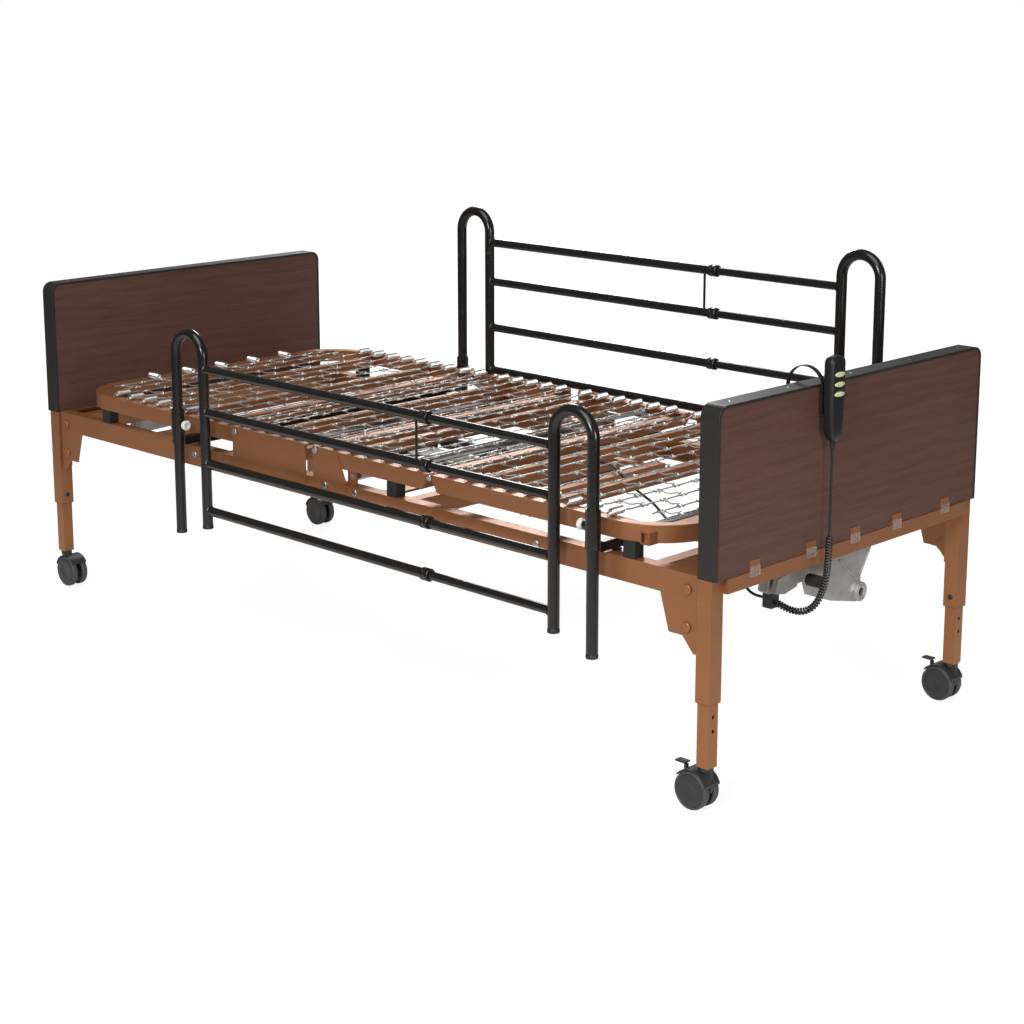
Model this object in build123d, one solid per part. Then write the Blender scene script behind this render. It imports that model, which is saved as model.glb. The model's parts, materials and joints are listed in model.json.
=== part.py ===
from build123d import *
import math
import os

# Adjustable home-care hospital bed with telescoping full-length side rails.
# Millimetres. +X runs from the head end to the foot end, +Y to the far side, +Z up.
# The bed is modelled about the middle of its length; save() then moves every piece by
# FRAME_SHIFT, so that the origin is the bottom centre of the whole object.

# ---- overall ----
BED_LENGTH = 2282.0            # over the outer faces of the two end panels
BED_WIDTH = 914.0              # over the end panels
FRAME_WIDTH = 902.0            # over the side rails and the deck angles

# ---- end panels ----
PANEL_THICK = 46.0
PANEL_BOTTOM = 477.0
PANEL_TOP = 822.0
PANEL_CORNER = 25.0
TRIM_WALL = 2.5
TRIM_LIP_WIDTH = 6.0
TRIM_LIP_THICK = 1.3
BOARD_THICK = 1.5
BOARD_GAP = 0.5                # boards stand this far inside the trim wall

# ---- end frames ----
LEG_OUTER = 36.0
LEG_WALL = 3.0
LEG_BOTTOM = 226.0
INNER_LEG = 29.0
INNER_LEG_WALL = 2.0
INNER_LEG_BOTTOM = 92.0
YOKE_TOP = 585.0
YOKE_DEPTH = 25.0
CHANNEL_DEPTH = 30.0           # cross channel under the panel
SHEET = 2.0                    # its sheet
TAB_WIDTH = 31.0
TAB_HEIGHT = 23.0
TAB_PITCHES = (-336.0, -152.0, 0.0, 152.0, 336.0)
CLIP_THICK = 1.5
CLIP_HEIGHT = 20.0
GLIDE_HEIGHT = 5.0
LEG_HOLE = 4.2                 # radius of the two holes in each inner leg
LEG_HOLE_HEIGHTS = (168.0, 198.0)

# ---- main frame ----
RAIL_BOTTOM = 430.0
RAIL_TOP = 480.0
RAIL_FLANGE = 30.0
STEEL = 3.0                    # wall of rails, angles and plates
RAIL_END_GAP = 5.0             # to the leg
HALF_JOINT = -29.0             # where the head half meets the foot half
CROSS_WIDTH = 30.0
HEAD_CROSSES = (-1030.0, -700.0, -400.0)
FOOT_CROSSES = (250.0, 970.0)
STRAP_WIDTH = 40.0
STRAP_THICK = 5.0
STRAP_STATIONS = (-262.0, 160.0)
STUB_CROSS = 416.0             # short cross channel on two bearers
STUB_HALF = 234.0
SEAT_PLATE = (-350.0, -80.0)
KNEE_PLATE = (-52.0, 29.0)
PLATE_BEVEL = 32.0
PLATE_TOP = 555.0
GUSSET_REACH = (98.0, 75.0, 40.0, 12.0)   # four corners, back from the leg
GUSSET_DROP = (352.0, 320.0)
STUD_BACK = 29.0
STUD_HEIGHTS = (448.0, 371.0)
STUD_HEAD = 11.0
STUD_SHANK = 5.0
BOLT_HEAD = 8.0
BOLT_SHANK = 4.0
BOLT_THICK = 5.0
BOLT_FIT = 0.2
RAIL_BOLTS = ((-504.0, 459.0), (-9.0, 470.0), (91.0, 468.0), (660.0, 461.0))

# ---- deck ----
DECK_LENGTH = 2032.0
DECK_BOTTOM = 515.0
DECK_TOP = 552.0
DECK_FLANGE = 25.0
DECK_CORNER = 136.0
SECTION_GAP = 8.0              # from a pivot to the end of its section
EAR_RADIUS = 8.0
EAR_THICK = 3.0
EAR_REACH = 45.0
PIVOT_FIT = 0.1
HEAD_PIVOT = (-338.0, 544.0)
KNEE_PIVOT = (-41.5, 546.0)
FOLD_PIVOT = (336.0, 544.0)
FOLD_TAPER = 16.0              # how far the lower corners stand back at the knee
DECK_CROSS_WIDTH = 24.0
DECK_CROSS_BOTTOM = 514.0
DECK_CROSS_TOP = 540.0
HEAD_DECK_CROSSES = (-850.0, -620.0, -480.0)
SEAT_CROSSES = (-300.0, -98.0)
THIGH_CROSSES = (0.0, 290.0)
FOOT_DECK_CROSSES = (400.0, 640.0, 952.0)
BUMPER = 30.0
BUMPER_GAP = 0.3
BUMPER_STATIONS = (-883.0, 212.0, 913.0)

# ---- link fabric and its springs ----
FABRIC_BOTTOM = 554.5
FABRIC_THICK = 3.0
FABRIC_HALF = 403.0
FABRIC_PITCH = 56.0
FABRIC_WIRE = 5.0
FABRIC_COLUMNS = 12
FABRIC_INSET = 16.0            # from a section's end
END_INSET = 60.0               # from the rounded ends of the deck
SPRING_RADIUS = 7.5
SPRING_LENGTH = 36.0
SPRING_REST = 0.4              # clear of the flange and of the fabric

# ---- lifts ----
LIFT_HEIGHT = 500.0
HEAD_LIFT_X = -330.0
KNEE_LIFT_X = 70.0
LIFT_TUBE = 11.0
LIFT_ARM = 120.0
LIFT_ARM_ANGLE = 17.3
LIFT_ARM_Y = 427.0
LIFT_ARM_THICK = 5.0
LIFT_ARM_HALF = 7.0
ROLLER = 12.0
ROLLER_WIDTH = 8.0
STUB_RADIUS = 6.0
BRACKET_THICK = 6.0
BRACKET_HALF = 14.0
LEVER = 70.0
LEVER_HALF = 6.0
LEVER_PIN = 8.0
HEAD_LEVER_ANGLE = 24.5
KNEE_LEVER_ANGLE = 29.0
PUSH_GAP = 1.0
PUSH_PAD = 6.0
PUSH_PAD_HALF = 19.0
PUSH_PAD_TOP = 4.0             # above the rod's axis, below the leaning lever
ROD_RADIUS = 9.0
ROD_TUBE = 15.0
ROD_FIT = 0.4
ROD_HEIGHT = 436.0
ROD_INSERT = 140.0
HEAD_ROD_Y = 140.0
KNEE_ROD_Y = 30.0

# ---- drives ----
MOTOR_TOP = 470.0
MOTOR_BOTTOM = 400.0
DRIVE_Y = -60.0
DRIVE_HEIGHT = 416.0
DRIVE_RADIUS = 8.0
DRIVE_FIT = 0.5
HILO_BOX = (-120.0, 60.0)
GEARBOX_BACK = 79.0            # from the outer face of the panel to the casting's inner face
GEARBOX_FRONT = 12.0
GEARBOX_BOTTOM = 330.0
LIFT_SCREW_RADIUS = 10.0
LIFT_SCREW_FIT = 0.5
LIFT_SCREW_Y = -20.0
LIFT_SCREW_BOTTOM = 350.0
CRANK_Y = 30.0
CRANK_HEIGHT = 354.0
CRANK_BOSS = 21.0
CRANK_BORE = 9.0
CRANK_DEPTH = 30.0
BUFFER_Y = -116.0
BUFFER_HEIGHT = 406.0
BUFFER_RADIUS = 13.0
JUNCTION_Y = -180.0            # face that the curly lead enters
JUNCTION_BACK = 67.0           # from the outer face of the panel
JUNCTION_HALF = 12.0
JUNCTION_DEPTH = 34.0
ARM_BOTTOM = 390.0

# ---- casters ----
WHEEL_RADIUS = 40.0
WHEEL_WIDTH = 16.0
WHEEL_SPREAD = 15.0            # from the middle of the caster to the middle of each wheel
TRAIL = 24.0
AXLE = 5.0
AXLE_FIT = 0.08
FORK_THICK = 11.0
FORK_TOP = 92.0
STEM = 5.5
HOOD_GAP = 2.0
HOOD_THICK = 2.0
PEDAL = (20.0, 18.0, 4.0)
LUG_FAR = 0.75                 # brake lug behind the axle, in wheel radii
LUG_NEAR = 0.6

# ---- side rails ----
RAIL_Y = 487.0
RAIL_RADIUS = 12.7
RAIL_BORE = RAIL_RADIUS - 2.5
SLIDER_RADIUS = RAIL_BORE - 0.5
HOOP_WIDTH = 107.0
HOOP_ARCS = 4                  # pieces that each half-ring is made of
HEAD_POST_X = -521.0
FOOT_POST_X = 850.0
NEAR_APEX = 783.0
FAR_RAISE = 217.0
POST_LENGTH = 518.0
INNER_POST_LENGTH = 488.0
BAR_DROPS = (93.0, 199.0, 325.0, 443.0)   # bars below the hoop's top
RAIL_JOINT_X = 377.0
RAIL_OVERLAP = 77.0
JOINT_COLLAR = RAIL_RADIUS + 1.8
JOINT_COLLAR_LENGTH = 24.0
TIE_X = 335.0
TIE_RADIUS = 3.0
COLLAR_RADIUS = RAIL_RADIUS + 3.3
COLLAR_BORE = RAIL_RADIUS + 0.4
COLLAR_BOTTOM = 493.0
COLLAR_TOP = 577.0
CROSSBAR = 25.0
CROSSBAR_BOTTOM = 484.0
CROSSBAR_OUTER_HALF = 400.0
CROSSBAR_WALL = 2.0
CROSSBAR_INNER = 20.4
KNOB_HEIGHT = 540.0
KNOB_RADIUS = 12.0
KNOB_WIDTH = 12.0
KNOB_PIN = 3.0
KNOB_PIN_FIT = 0.2
KNOB_BOSS = 9.0
KNOB_BOSS_LENGTH = 8.0
KNOB_LIFT = 0.5

# ---- pendant ----
PENDANT_Y = -120.0
PENDANT_WIDTH = 48.0
PENDANT_BOTTOM = 705.0
PENDANT_TOP = 880.0
PENDANT_STANDOFF = 8.0
PENDANT_THICK = 26.0
KEY_HEIGHTS = (843.0, 823.0, 803.0)
KEY_LENGTH = 31.0
KEY_HEIGHT = 10.0
KEY_PROUD = 2.5
KEY_POCKET = 5.5
KEY_GAP = 1.4                  # under the key, for its rocking
KEY_FIT = 0.5
HOOK_WIDTH = 12.0
HOOK_THICK = 2.0
CORD_RADIUS = 2.5
CURL_RADIUS = 8.0
RELIEF_LENGTH = 16.0

# ---- worked out ----
END_X = BED_LENGTH / 2
JUNCTION_X = END_X - JUNCTION_BACK
PANEL_INNER = END_X - PANEL_THICK
HALF_WIDTH = BED_WIDTH / 2
SIDE = FRAME_WIDTH / 2
LEG_X = PANEL_INNER + LEG_OUTER / 2
LEG_Y = HALF_WIDTH - LEG_OUTER / 2
RAIL_END = PANEL_INNER - RAIL_END_GAP
CHANNEL_OUT = END_X - TRIM_LIP_THICK + SHEET
CLIP_OUT = CHANNEL_OUT + CLIP_THICK
PENDANT_BACK = END_X + PENDANT_STANDOFF
PENDANT_FRONT = PENDANT_BACK + PENDANT_THICK
FRAME_SHIFT = -(PENDANT_FRONT + KEY_PROUD - CLIP_OUT) / 2
DECK_HALF = DECK_LENGTH / 2
INNER_FACE = SIDE - STEEL
EAR_Y = INNER_FACE - EAR_THICK
SPRING_Z = DECK_TOP + SPRING_RADIUS + SPRING_REST
LIFT_REACH = LIFT_ARM * math.cos(math.radians(LIFT_ARM_ANGLE))
LIFT_RISE = LIFT_ARM * math.sin(math.radians(LIFT_ARM_ANGLE))
CROSSBAR_TOP = CROSSBAR_BOTTOM + CROSSBAR


# ---- helpers ----
def block(x0, x1, y0, y1, z0, z1):
    """Rectangular solid between two corners."""
    place = Pos((x0 + x1) / 2, (y0 + y1) / 2, (z0 + z1) / 2)
    return place * Box(abs(x1 - x0), abs(y1 - y0), abs(z1 - z0))


def bar(start, end, radius, bore=0.0):
    """Round bar, or a tube when it has a bore, from one point to another."""
    line = Vector(*end) - Vector(*start)
    place = Plane(origin=start, z_dir=line)
    base = (Align.CENTER, Align.CENTER, Align.MIN)
    solid = place * Cylinder(radius, line.length, align=base)
    if bore:
        solid -= place * Cylinder(bore, line.length, align=base)
    return solid


def prism(points, along):
    """Flat outline pushed along a vector."""
    face = make_face(Polyline(*points, close=True))
    reach = Vector(*along)
    return extrude(face, amount=reach.length, dir=reach)


def square_tube(x0, x1, y0, y1, z0, z1, wall, axis):
    """Square tube along one axis: "x", "y" or "z"."""
    cut = {"x": wall, "y": wall, "z": wall}
    cut[axis] = -1.0
    inside = block(x0 + cut["x"], x1 - cut["x"], y0 + cut["y"], y1 - cut["y"],
                   z0 + cut["z"], z1 - cut["z"])
    return block(x0, x1, y0, y1, z0, z1) - inside


def far_side(piece):
    """The same piece on the other side of the bed."""
    return mirror(piece, about=Plane.XZ)


def other_end(piece):
    """The same piece at the other end of the bed."""
    return mirror(piece, about=Plane.YZ)


def both(pieces):
    """Pieces of one side, with their twins on the other side."""
    return list(pieces) + [far_side(piece) for piece in pieces]


def ends(pieces):
    """Pieces of one end, with their twins at the other end."""
    return list(pieces) + [other_end(piece) for piece in pieces]


def save(name, pieces):
    """Move the pieces to the object's own origin and write them as one node."""
    solids = [solid for piece in pieces for solid in piece.solids()]
    node = Pos(FRAME_SHIFT, 0, 0) * Compound(solids)
    export_step(node, f"parts/{name}.step")
    print(f"{name}: {len(solids)} solids, {node.volume / 1000:.1f} cm3")


# ---- end panels, made for the foot end ----
def panel_outline(inset):
    """Panel outline with rounded top corners, as a sketch in the YZ plane."""
    width = BED_WIDTH - 2 * inset
    height = PANEL_TOP - PANEL_BOTTOM - inset
    corner = PANEL_CORNER - inset
    plane = Plane(origin=(0, 0, PANEL_BOTTOM), x_dir=(0, 1, 0), z_dir=(1, 0, 0))
    lower = Pos(0, height / 4) * Rectangle(width, height / 2)
    return plane * (Pos(0, height / 2) * RectangleRounded(width, height, corner) + lower)


def panel_slab(inset, x0, x1):
    """Panel outline given a thickness between two X places."""
    return Pos(x0, 0, 0) * extrude(panel_outline(inset), amount=x1 - x0, dir=(1, 0, 0))


def panel_boards():
    """The two laminate boards of a hollow end panel."""
    inset = TRIM_WALL + BOARD_GAP
    outer = END_X - TRIM_LIP_THICK
    inner = PANEL_INNER + TRIM_LIP_THICK
    return [panel_slab(inset, outer - BOARD_THICK, outer), panel_slab(inset, inner, inner + BOARD_THICK)]


def panel_trim():
    """Moulded edge trim with a lip over both boards, in a top length and two sides."""
    ring = panel_slab(0, PANEL_INNER, END_X)
    ring -= panel_slab(TRIM_WALL, PANEL_INNER + TRIM_LIP_THICK, END_X - TRIM_LIP_THICK)
    ring -= panel_slab(TRIM_LIP_WIDTH, PANEL_INNER - 1, END_X + 1)
    split = HALF_WIDTH - PANEL_CORNER
    zone = (PANEL_INNER - 5, END_X + 5)
    top = ring & block(*zone, -split, split, PANEL_BOTTOM, PANEL_TOP + 5)
    side = ring & block(*zone, split, HALF_WIDTH + 5, PANEL_BOTTOM - 5, PANEL_TOP + 5)
    return [top] + both([side])


# ---- end frame, made for the foot end ----
def outer_legs():
    """The two fixed leg tubes."""
    return both([square_tube(PANEL_INNER, PANEL_INNER + LEG_OUTER, HALF_WIDTH - LEG_OUTER, HALF_WIDTH,
                             LEG_BOTTOM, PANEL_BOTTOM, LEG_WALL, "z")])


def panel_channel():
    """Folded channel that carries the panel, with its upstanding tabs."""
    half = HALF_WIDTH - LEG_OUTER
    low = PANEL_BOTTOM - CHANNEL_DEPTH
    web = block(CHANNEL_OUT - SHEET, CHANNEL_OUT, -half, half, low, PANEL_BOTTOM)
    screw = bar((LEG_X, LIFT_SCREW_Y, low - 5), (LEG_X, LIFT_SCREW_Y, PANEL_BOTTOM + 5),
                LIFT_SCREW_RADIUS + 1)
    shelf = block(PANEL_INNER, CHANNEL_OUT - SHEET, -half, half, PANEL_BOTTOM - SHEET, PANEL_BOTTOM) - screw
    foot = block(LEG_X, CHANNEL_OUT - SHEET, -half, half, low, low + SHEET) - screw
    tabs = [block(CHANNEL_OUT - SHEET, CHANNEL_OUT, y - TAB_WIDTH / 2, y + TAB_WIDTH / 2,
                  PANEL_BOTTOM, PANEL_BOTTOM + TAB_HEIGHT) for y in TAB_PITCHES]
    cap = block(PANEL_INNER + LEG_OUTER, CHANNEL_OUT - SHEET, half - SHEET, half, low, PANEL_BOTTOM)
    return [web, shelf, foot] + both([cap]) + tabs


def leg_brackets():
    """Angle brackets on the legs that the main frame's gussets hook onto."""
    low = GUSSET_DROP[1] + 8
    back, high = PANEL_INNER - 52, RAIL_BOTTOM - 0.5
    outline = [(back, high), (back, GUSSET_DROP[0]), (PANEL_INNER - GUSSET_REACH[2], GUSSET_DROP[0]),
               (PANEL_INNER - GUSSET_REACH[3], low), (PANEL_INNER, low), (PANEL_INNER, high)]
    cheek = prism([(x, INNER_FACE - STEEL, z) for x, z in outline], (0, STEEL - 0.2, 0))
    for height in STUD_HEIGHTS:
        cheek -= bar((PANEL_INNER - STUD_BACK, SIDE, height), (PANEL_INNER - STUD_BACK, SIDE - 20, height),
                     STUD_SHANK + BOLT_FIT)
    flange = block(PANEL_INNER - STEEL, PANEL_INNER, HALF_WIDTH - LEG_OUTER, INNER_FACE - STEEL,
                   low, RAIL_BOTTOM - 0.5)
    return both([cheek + flange])


def panel_clips():
    """Clear plastic clips over the feet of the tabs, at both ends."""
    low = PANEL_BOTTOM - CLIP_HEIGHT / 2
    return ends([block(CHANNEL_OUT, CLIP_OUT, y - TAB_WIDTH / 2, y + TAB_WIDTH / 2, low, low + CLIP_HEIGHT)
                 for y in TAB_PITCHES])


def leg_glides():
    """Black plastic bushes in the mouths of the four outer legs."""
    edge = LEG_OUTER / 2
    bore = INNER_LEG / 2 + BOARD_GAP
    ring = block(LEG_X - edge, LEG_X + edge, LEG_Y - edge, LEG_Y + edge, LEG_BOTTOM - GLIDE_HEIGHT, LEG_BOTTOM)
    ring -= block(LEG_X - bore, LEG_X + bore, LEG_Y - bore, LEG_Y + bore,
                  LEG_BOTTOM - GLIDE_HEIGHT - 1, LEG_BOTTOM + 1)
    return ends(both([ring]))


def leg_yoke():
    """Two inner legs joined by a cross tube inside the panel, with the push tube that lifts them."""
    edge = INNER_LEG / 2
    leg = square_tube(LEG_X - edge, LEG_X + edge, LEG_Y - edge, LEG_Y + edge,
                      INNER_LEG_BOTTOM, YOKE_TOP, INNER_LEG_WALL, "z")
    for height in LEG_HOLE_HEIGHTS:
        leg -= bar((END_X, LEG_Y, height), (LEG_X, LEG_Y, height), LEG_HOLE)
    tie = square_tube(LEG_X - YOKE_DEPTH / 2, LEG_X + YOKE_DEPTH / 2, -(LEG_Y - edge), LEG_Y - edge,
                      YOKE_TOP - YOKE_DEPTH, YOKE_TOP, INNER_LEG_WALL, "y")
    push_tube = bar((LEG_X, LIFT_SCREW_Y, LIFT_SCREW_BOTTOM), (LEG_X, LIFT_SCREW_Y, YOKE_TOP - YOKE_DEPTH),
                    LIFT_SCREW_RADIUS)
    return both([leg]) + [tie, push_tube]


# ---- main frame ----
def drill(x, z, radius):
    """Cutter through a side rail's web and plate."""
    return bar((x, SIDE - 20, z), (x, SIDE + 20, z), radius)


def side_rail(x0, x1):
    """Side rail channel, open inwards, with its bolt holes."""
    web = block(x0, x1, INNER_FACE, SIDE, RAIL_BOTTOM, RAIL_TOP)
    inner = SIDE - RAIL_FLANGE
    upper = block(x0, x1, inner, INNER_FACE, RAIL_TOP - STEEL, RAIL_TOP)
    lower = block(x0, x1, inner, INNER_FACE, RAIL_BOTTOM, RAIL_BOTTOM + STEEL)
    for x, z in RAIL_BOLTS:
        web -= drill(x, z, BOLT_SHANK + BOLT_FIT)
    stud = PANEL_INNER - STUD_BACK
    for x in (-stud, stud):
        web -= drill(x, STUD_HEIGHTS[0], STUD_SHANK + BOLT_FIT)
    return web + upper + lower


def rail_gusset():
    """Corner plate under a side rail's end, made for the foot end."""
    back = [PANEL_INNER - reach for reach in GUSSET_REACH]
    outline = [(back[0], RAIL_BOTTOM), (back[1], GUSSET_DROP[0]), (back[2], GUSSET_DROP[0]),
               (back[3], GUSSET_DROP[1]), (RAIL_END, GUSSET_DROP[1]), (RAIL_END, RAIL_BOTTOM)]
    plate = prism([(x, INNER_FACE, z) for x, z in outline], (0, STEEL, 0))
    return plate - drill(PANEL_INNER - STUD_BACK, STUD_HEIGHTS[1], STUD_SHANK + BOLT_FIT)


def cross_channel(x, half):
    """Cross channel, open downwards, centred on x."""
    low = RAIL_BOTTOM + STEEL
    high = RAIL_TOP - STEEL
    outer = block(x - CROSS_WIDTH / 2, x + CROSS_WIDTH / 2, -half, half, low, high)
    edge = CROSS_WIDTH / 2 - STEEL
    return outer - block(x - edge, x + edge, -half - 1, half + 1, low - 1, high - STEEL)


def cross_strap(x):
    """Flat strap that the motors hang from."""
    return block(x - STRAP_WIDTH / 2, x + STRAP_WIDTH / 2, -INNER_FACE, INNER_FACE,
                 MOTOR_TOP, MOTOR_TOP + STRAP_THICK)


def section_plate(span, bevel, pivot):
    """Upright plate outside a side rail that carries a section's pivot."""
    low = RAIL_TOP - 20
    outline = [(span[0], low), (span[1] + bevel, low), (span[1] + bevel, RAIL_TOP + 8),
               (span[1], PLATE_TOP), (span[0], PLATE_TOP)]
    plate = prism([(x, SIDE, z) for x, z in outline], (0, STEEL, 0))
    plate -= drill(*pivot, BOLT_SHANK + PIVOT_FIT)
    for x, z in RAIL_BOLTS:
        plate -= drill(x, z, BOLT_SHANK + BOLT_FIT)
    return plate


def deck_angle(x0, x1):
    """Straight side angle of the deck."""
    upright = block(x0, x1, INNER_FACE, SIDE, DECK_BOTTOM, DECK_TOP)
    flange = block(x0, x1, SIDE - DECK_FLANGE, INNER_FACE, DECK_TOP - STEEL, DECK_TOP)
    return upright + flange


def deck_cross(x):
    """Cross bar under a deck section."""
    return square_tube(x - DECK_CROSS_WIDTH / 2, x + DECK_CROSS_WIDTH / 2, -INNER_FACE, INNER_FACE,
                       DECK_CROSS_BOTTOM, DECK_CROSS_TOP, STEEL - 1, "y")


def lift_bracket(x):
    """Bracket on the side rail that a lift tube turns in."""
    y0 = LIFT_ARM_Y + LIFT_ARM_THICK + ROLLER_WIDTH / 2
    plate = block(x - BRACKET_HALF, x + BRACKET_HALF, y0, y0 + BRACKET_THICK,
                  RAIL_TOP, LIFT_HEIGHT + BRACKET_HALF)
    bore = bar((x, y0 - 5, LIFT_HEIGHT), (x, y0 + BRACKET_THICK + 5, LIFT_HEIGHT), STUB_RADIUS + PIVOT_FIT)
    return plate - bore


def head_main_frame():
    """Head half of the main frame, with the fixed seat's sides."""
    x1 = HALF_JOINT - 0.3
    seat = (HEAD_PIVOT[0] + SECTION_GAP, SEAT_PLATE[1])
    ear = pivot_ear(HEAD_PIVOT, 1, INNER_FACE - EAR_THICK)
    sides = [side_rail(-RAIL_END, x1), other_end(rail_gusset()), section_plate(SEAT_PLATE, 0, HEAD_PIVOT),
             deck_angle(*seat), ear, lift_bracket(HEAD_LIFT_X)]
    crosses = [cross_channel(x, INNER_FACE) for x in HEAD_CROSSES]
    seat_bars = [deck_cross(x) for x in SEAT_CROSSES]
    return both(sides) + crosses + seat_bars + [cross_strap(STRAP_STATIONS[0])]


def foot_main_frame():
    """Foot half of the main frame, with the plates that carry the thigh section."""
    sides = [side_rail(HALF_JOINT, RAIL_END), rail_gusset(),
             section_plate(KNEE_PLATE, PLATE_BEVEL, KNEE_PIVOT), lift_bracket(KNEE_LIFT_X)]
    crosses = [cross_channel(x, INNER_FACE) for x in FOOT_CROSSES]
    stub = cross_channel(STUB_CROSS, STUB_HALF)
    x0 = FOOT_CROSSES[0] + CROSS_WIDTH / 2
    bearer = block(x0, STUB_CROSS - CROSS_WIDTH / 2, STUB_HALF - 30, STUB_HALF - 10, MOTOR_TOP - 8, MOTOR_TOP)
    return both(sides + [bearer]) + crosses + [stub, cross_strap(STRAP_STATIONS[1])]


# ---- bolts ----
def side_bolt(x, z, y_head, y_tail, head, shank):
    """Bolt through a side, its head outwards at y_head."""
    top = bar((x, y_head, z), (x, y_head + BOLT_THICK, z), head)
    return top + bar((x, y_tail, z), (x, y_head, z), shank)


def frame_bolts():
    """Rail bolts and the mushroom studs of the four corners."""
    plates = (SEAT_PLATE, (KNEE_PLATE[0], KNEE_PLATE[1] + PLATE_BEVEL))
    bolts = []
    for x, z in RAIL_BOLTS:
        plated = any(span[0] < x < span[1] for span in plates)
        face = SIDE + STEEL if plated and z > RAIL_TOP - 20 else SIDE
        bolts.append(side_bolt(x, z, face, INNER_FACE - BOLT_THICK, BOLT_HEAD, BOLT_SHANK))
    stud = PANEL_INNER - STUD_BACK
    for z in STUD_HEIGHTS:
        for x in (-stud, stud):
            bolts.append(side_bolt(x, z, SIDE, INNER_FACE - STEEL, STUD_HEAD, STUD_SHANK))
    return both(bolts)


def pivot_bolts():
    """Shoulder bolts that the head and thigh sections turn on."""
    face = SIDE + STEEL
    return both([side_bolt(*pivot, face, EAR_Y - EAR_THICK - 1, BOLT_HEAD, BOLT_SHANK)
                 for pivot in (HEAD_PIVOT, KNEE_PIVOT)])


def knee_bolts():
    """Shoulder bolts between the thigh and foot sections."""
    return both([side_bolt(*FOLD_PIVOT, INNER_FACE + 0.3, EAR_Y - EAR_THICK - 2, BOLT_HEAD - 1.5, BOLT_SHANK)])


# ---- deck sections ----
def pivot_ear(pivot, side, y0):
    """Strap inside a section's angle with a round eye on the pivot; side is +1 towards +X."""
    x, z = pivot
    eye = bar((x, y0, z), (x, y0 + EAR_THICK, z), EAR_RADIUS)
    reach = sorted((x, x + side * EAR_REACH))
    strap = block(reach[0], reach[1], y0, y0 + EAR_THICK, z - EAR_RADIUS, z + EAR_RADIUS - 3)
    bore = bar((x, y0 - 1, z), (x, y0 + EAR_THICK + 1, z), BOLT_SHANK + PIVOT_FIT)
    return eye + strap - bore


def deck_end_ring():
    """Rounded end angle of the deck at the foot, as a corner at each side and an end run."""
    def outline(inset):
        return RectangleRounded(DECK_LENGTH - 2 * inset, FRAME_WIDTH - 2 * inset, DECK_CORNER - inset)

    upright = extrude(Pos(0, 0, DECK_BOTTOM) * (outline(0) - outline(STEEL)), DECK_TOP - DECK_BOTTOM)
    flange = extrude(Pos(0, 0, DECK_TOP - STEEL) * (outline(0) - outline(DECK_FLANGE)), STEEL)
    ring = upright + flange
    start = DECK_HALF - DECK_CORNER
    side = SIDE - DECK_CORNER
    low, high = DECK_BOTTOM - 5, DECK_TOP + 5
    corner = ring & block(start, DECK_HALF + 5, side, SIDE + 5, low, high)
    run = ring & block(start, DECK_HALF + 5, -side, side, low, high)
    return both([corner]) + [run]


def knee_taper(piece, side):
    """Cut the lower corner of an angle back beside the knee; side is +1 towards +X."""
    x, z = FOLD_PIVOT
    edge = x + side * SECTION_GAP
    cut = prism([(edge - side * 1, SIDE - 60, z), (edge, SIDE - 60, z - 4),
                 (edge + side * FOLD_TAPER, SIDE - 60, DECK_BOTTOM - 1),
                 (edge - side * 1, SIDE - 60, DECK_BOTTOM - 1)], (0, 80, 0))
    return piece - cut


def head_deck_frame():
    """Head section: side angles, rounded end and cross bars."""
    end = HEAD_PIVOT[0] - SECTION_GAP
    start = DECK_HALF - DECK_CORNER
    ear = pivot_ear(HEAD_PIVOT, -1, INNER_FACE - 2 * EAR_THICK - 0.5)
    spacer = block(end - EAR_REACH + 8, end - EAR_REACH + 34, INNER_FACE - EAR_THICK - 0.5, INNER_FACE,
                   HEAD_PIVOT[1] - EAR_RADIUS, DECK_TOP - STEEL)
    return (both([deck_angle(-start, end), ear, spacer]) + [other_end(piece) for piece in deck_end_ring()]
            + [deck_cross(x) for x in HEAD_DECK_CROSSES])


def thigh_frame():
    """Thigh section: two side angles and cross bars."""
    x0 = KNEE_PIVOT[0] + SECTION_GAP
    x1 = FOLD_PIVOT[0] - SECTION_GAP
    side = knee_taper(deck_angle(x0, x1), -1)
    ears = [pivot_ear(KNEE_PIVOT, 1, EAR_Y), pivot_ear(FOLD_PIVOT, -1, EAR_Y)]
    return both([side] + ears) + [deck_cross(x) for x in THIGH_CROSSES]


def foot_deck_frame():
    """Foot section: side angles, rounded end and cross bars."""
    x0 = FOLD_PIVOT[0] + SECTION_GAP
    start = DECK_HALF - DECK_CORNER
    side = knee_taper(deck_angle(x0, start), 1)
    ear = pivot_ear(FOLD_PIVOT, 1, INNER_FACE - 2 * EAR_THICK - 0.5)
    spacer = block(x0 + 10, x0 + EAR_REACH - 8, INNER_FACE - EAR_THICK - 0.5, INNER_FACE,
                   FOLD_PIVOT[1] - EAR_RADIUS, DECK_TOP - STEEL)
    return both([side, ear, spacer]) + deck_end_ring() + [deck_cross(x) for x in FOOT_DECK_CROSSES]


def rubber_bumpers():
    """Blocks on the side rails that the lowered sections rest on."""
    half = BUMPER / 2
    return both([block(x - half, x + half, SIDE - BUMPER, SIDE, RAIL_TOP, DECK_BOTTOM - BUMPER_GAP)
                 for x in BUMPER_STATIONS])


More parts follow.
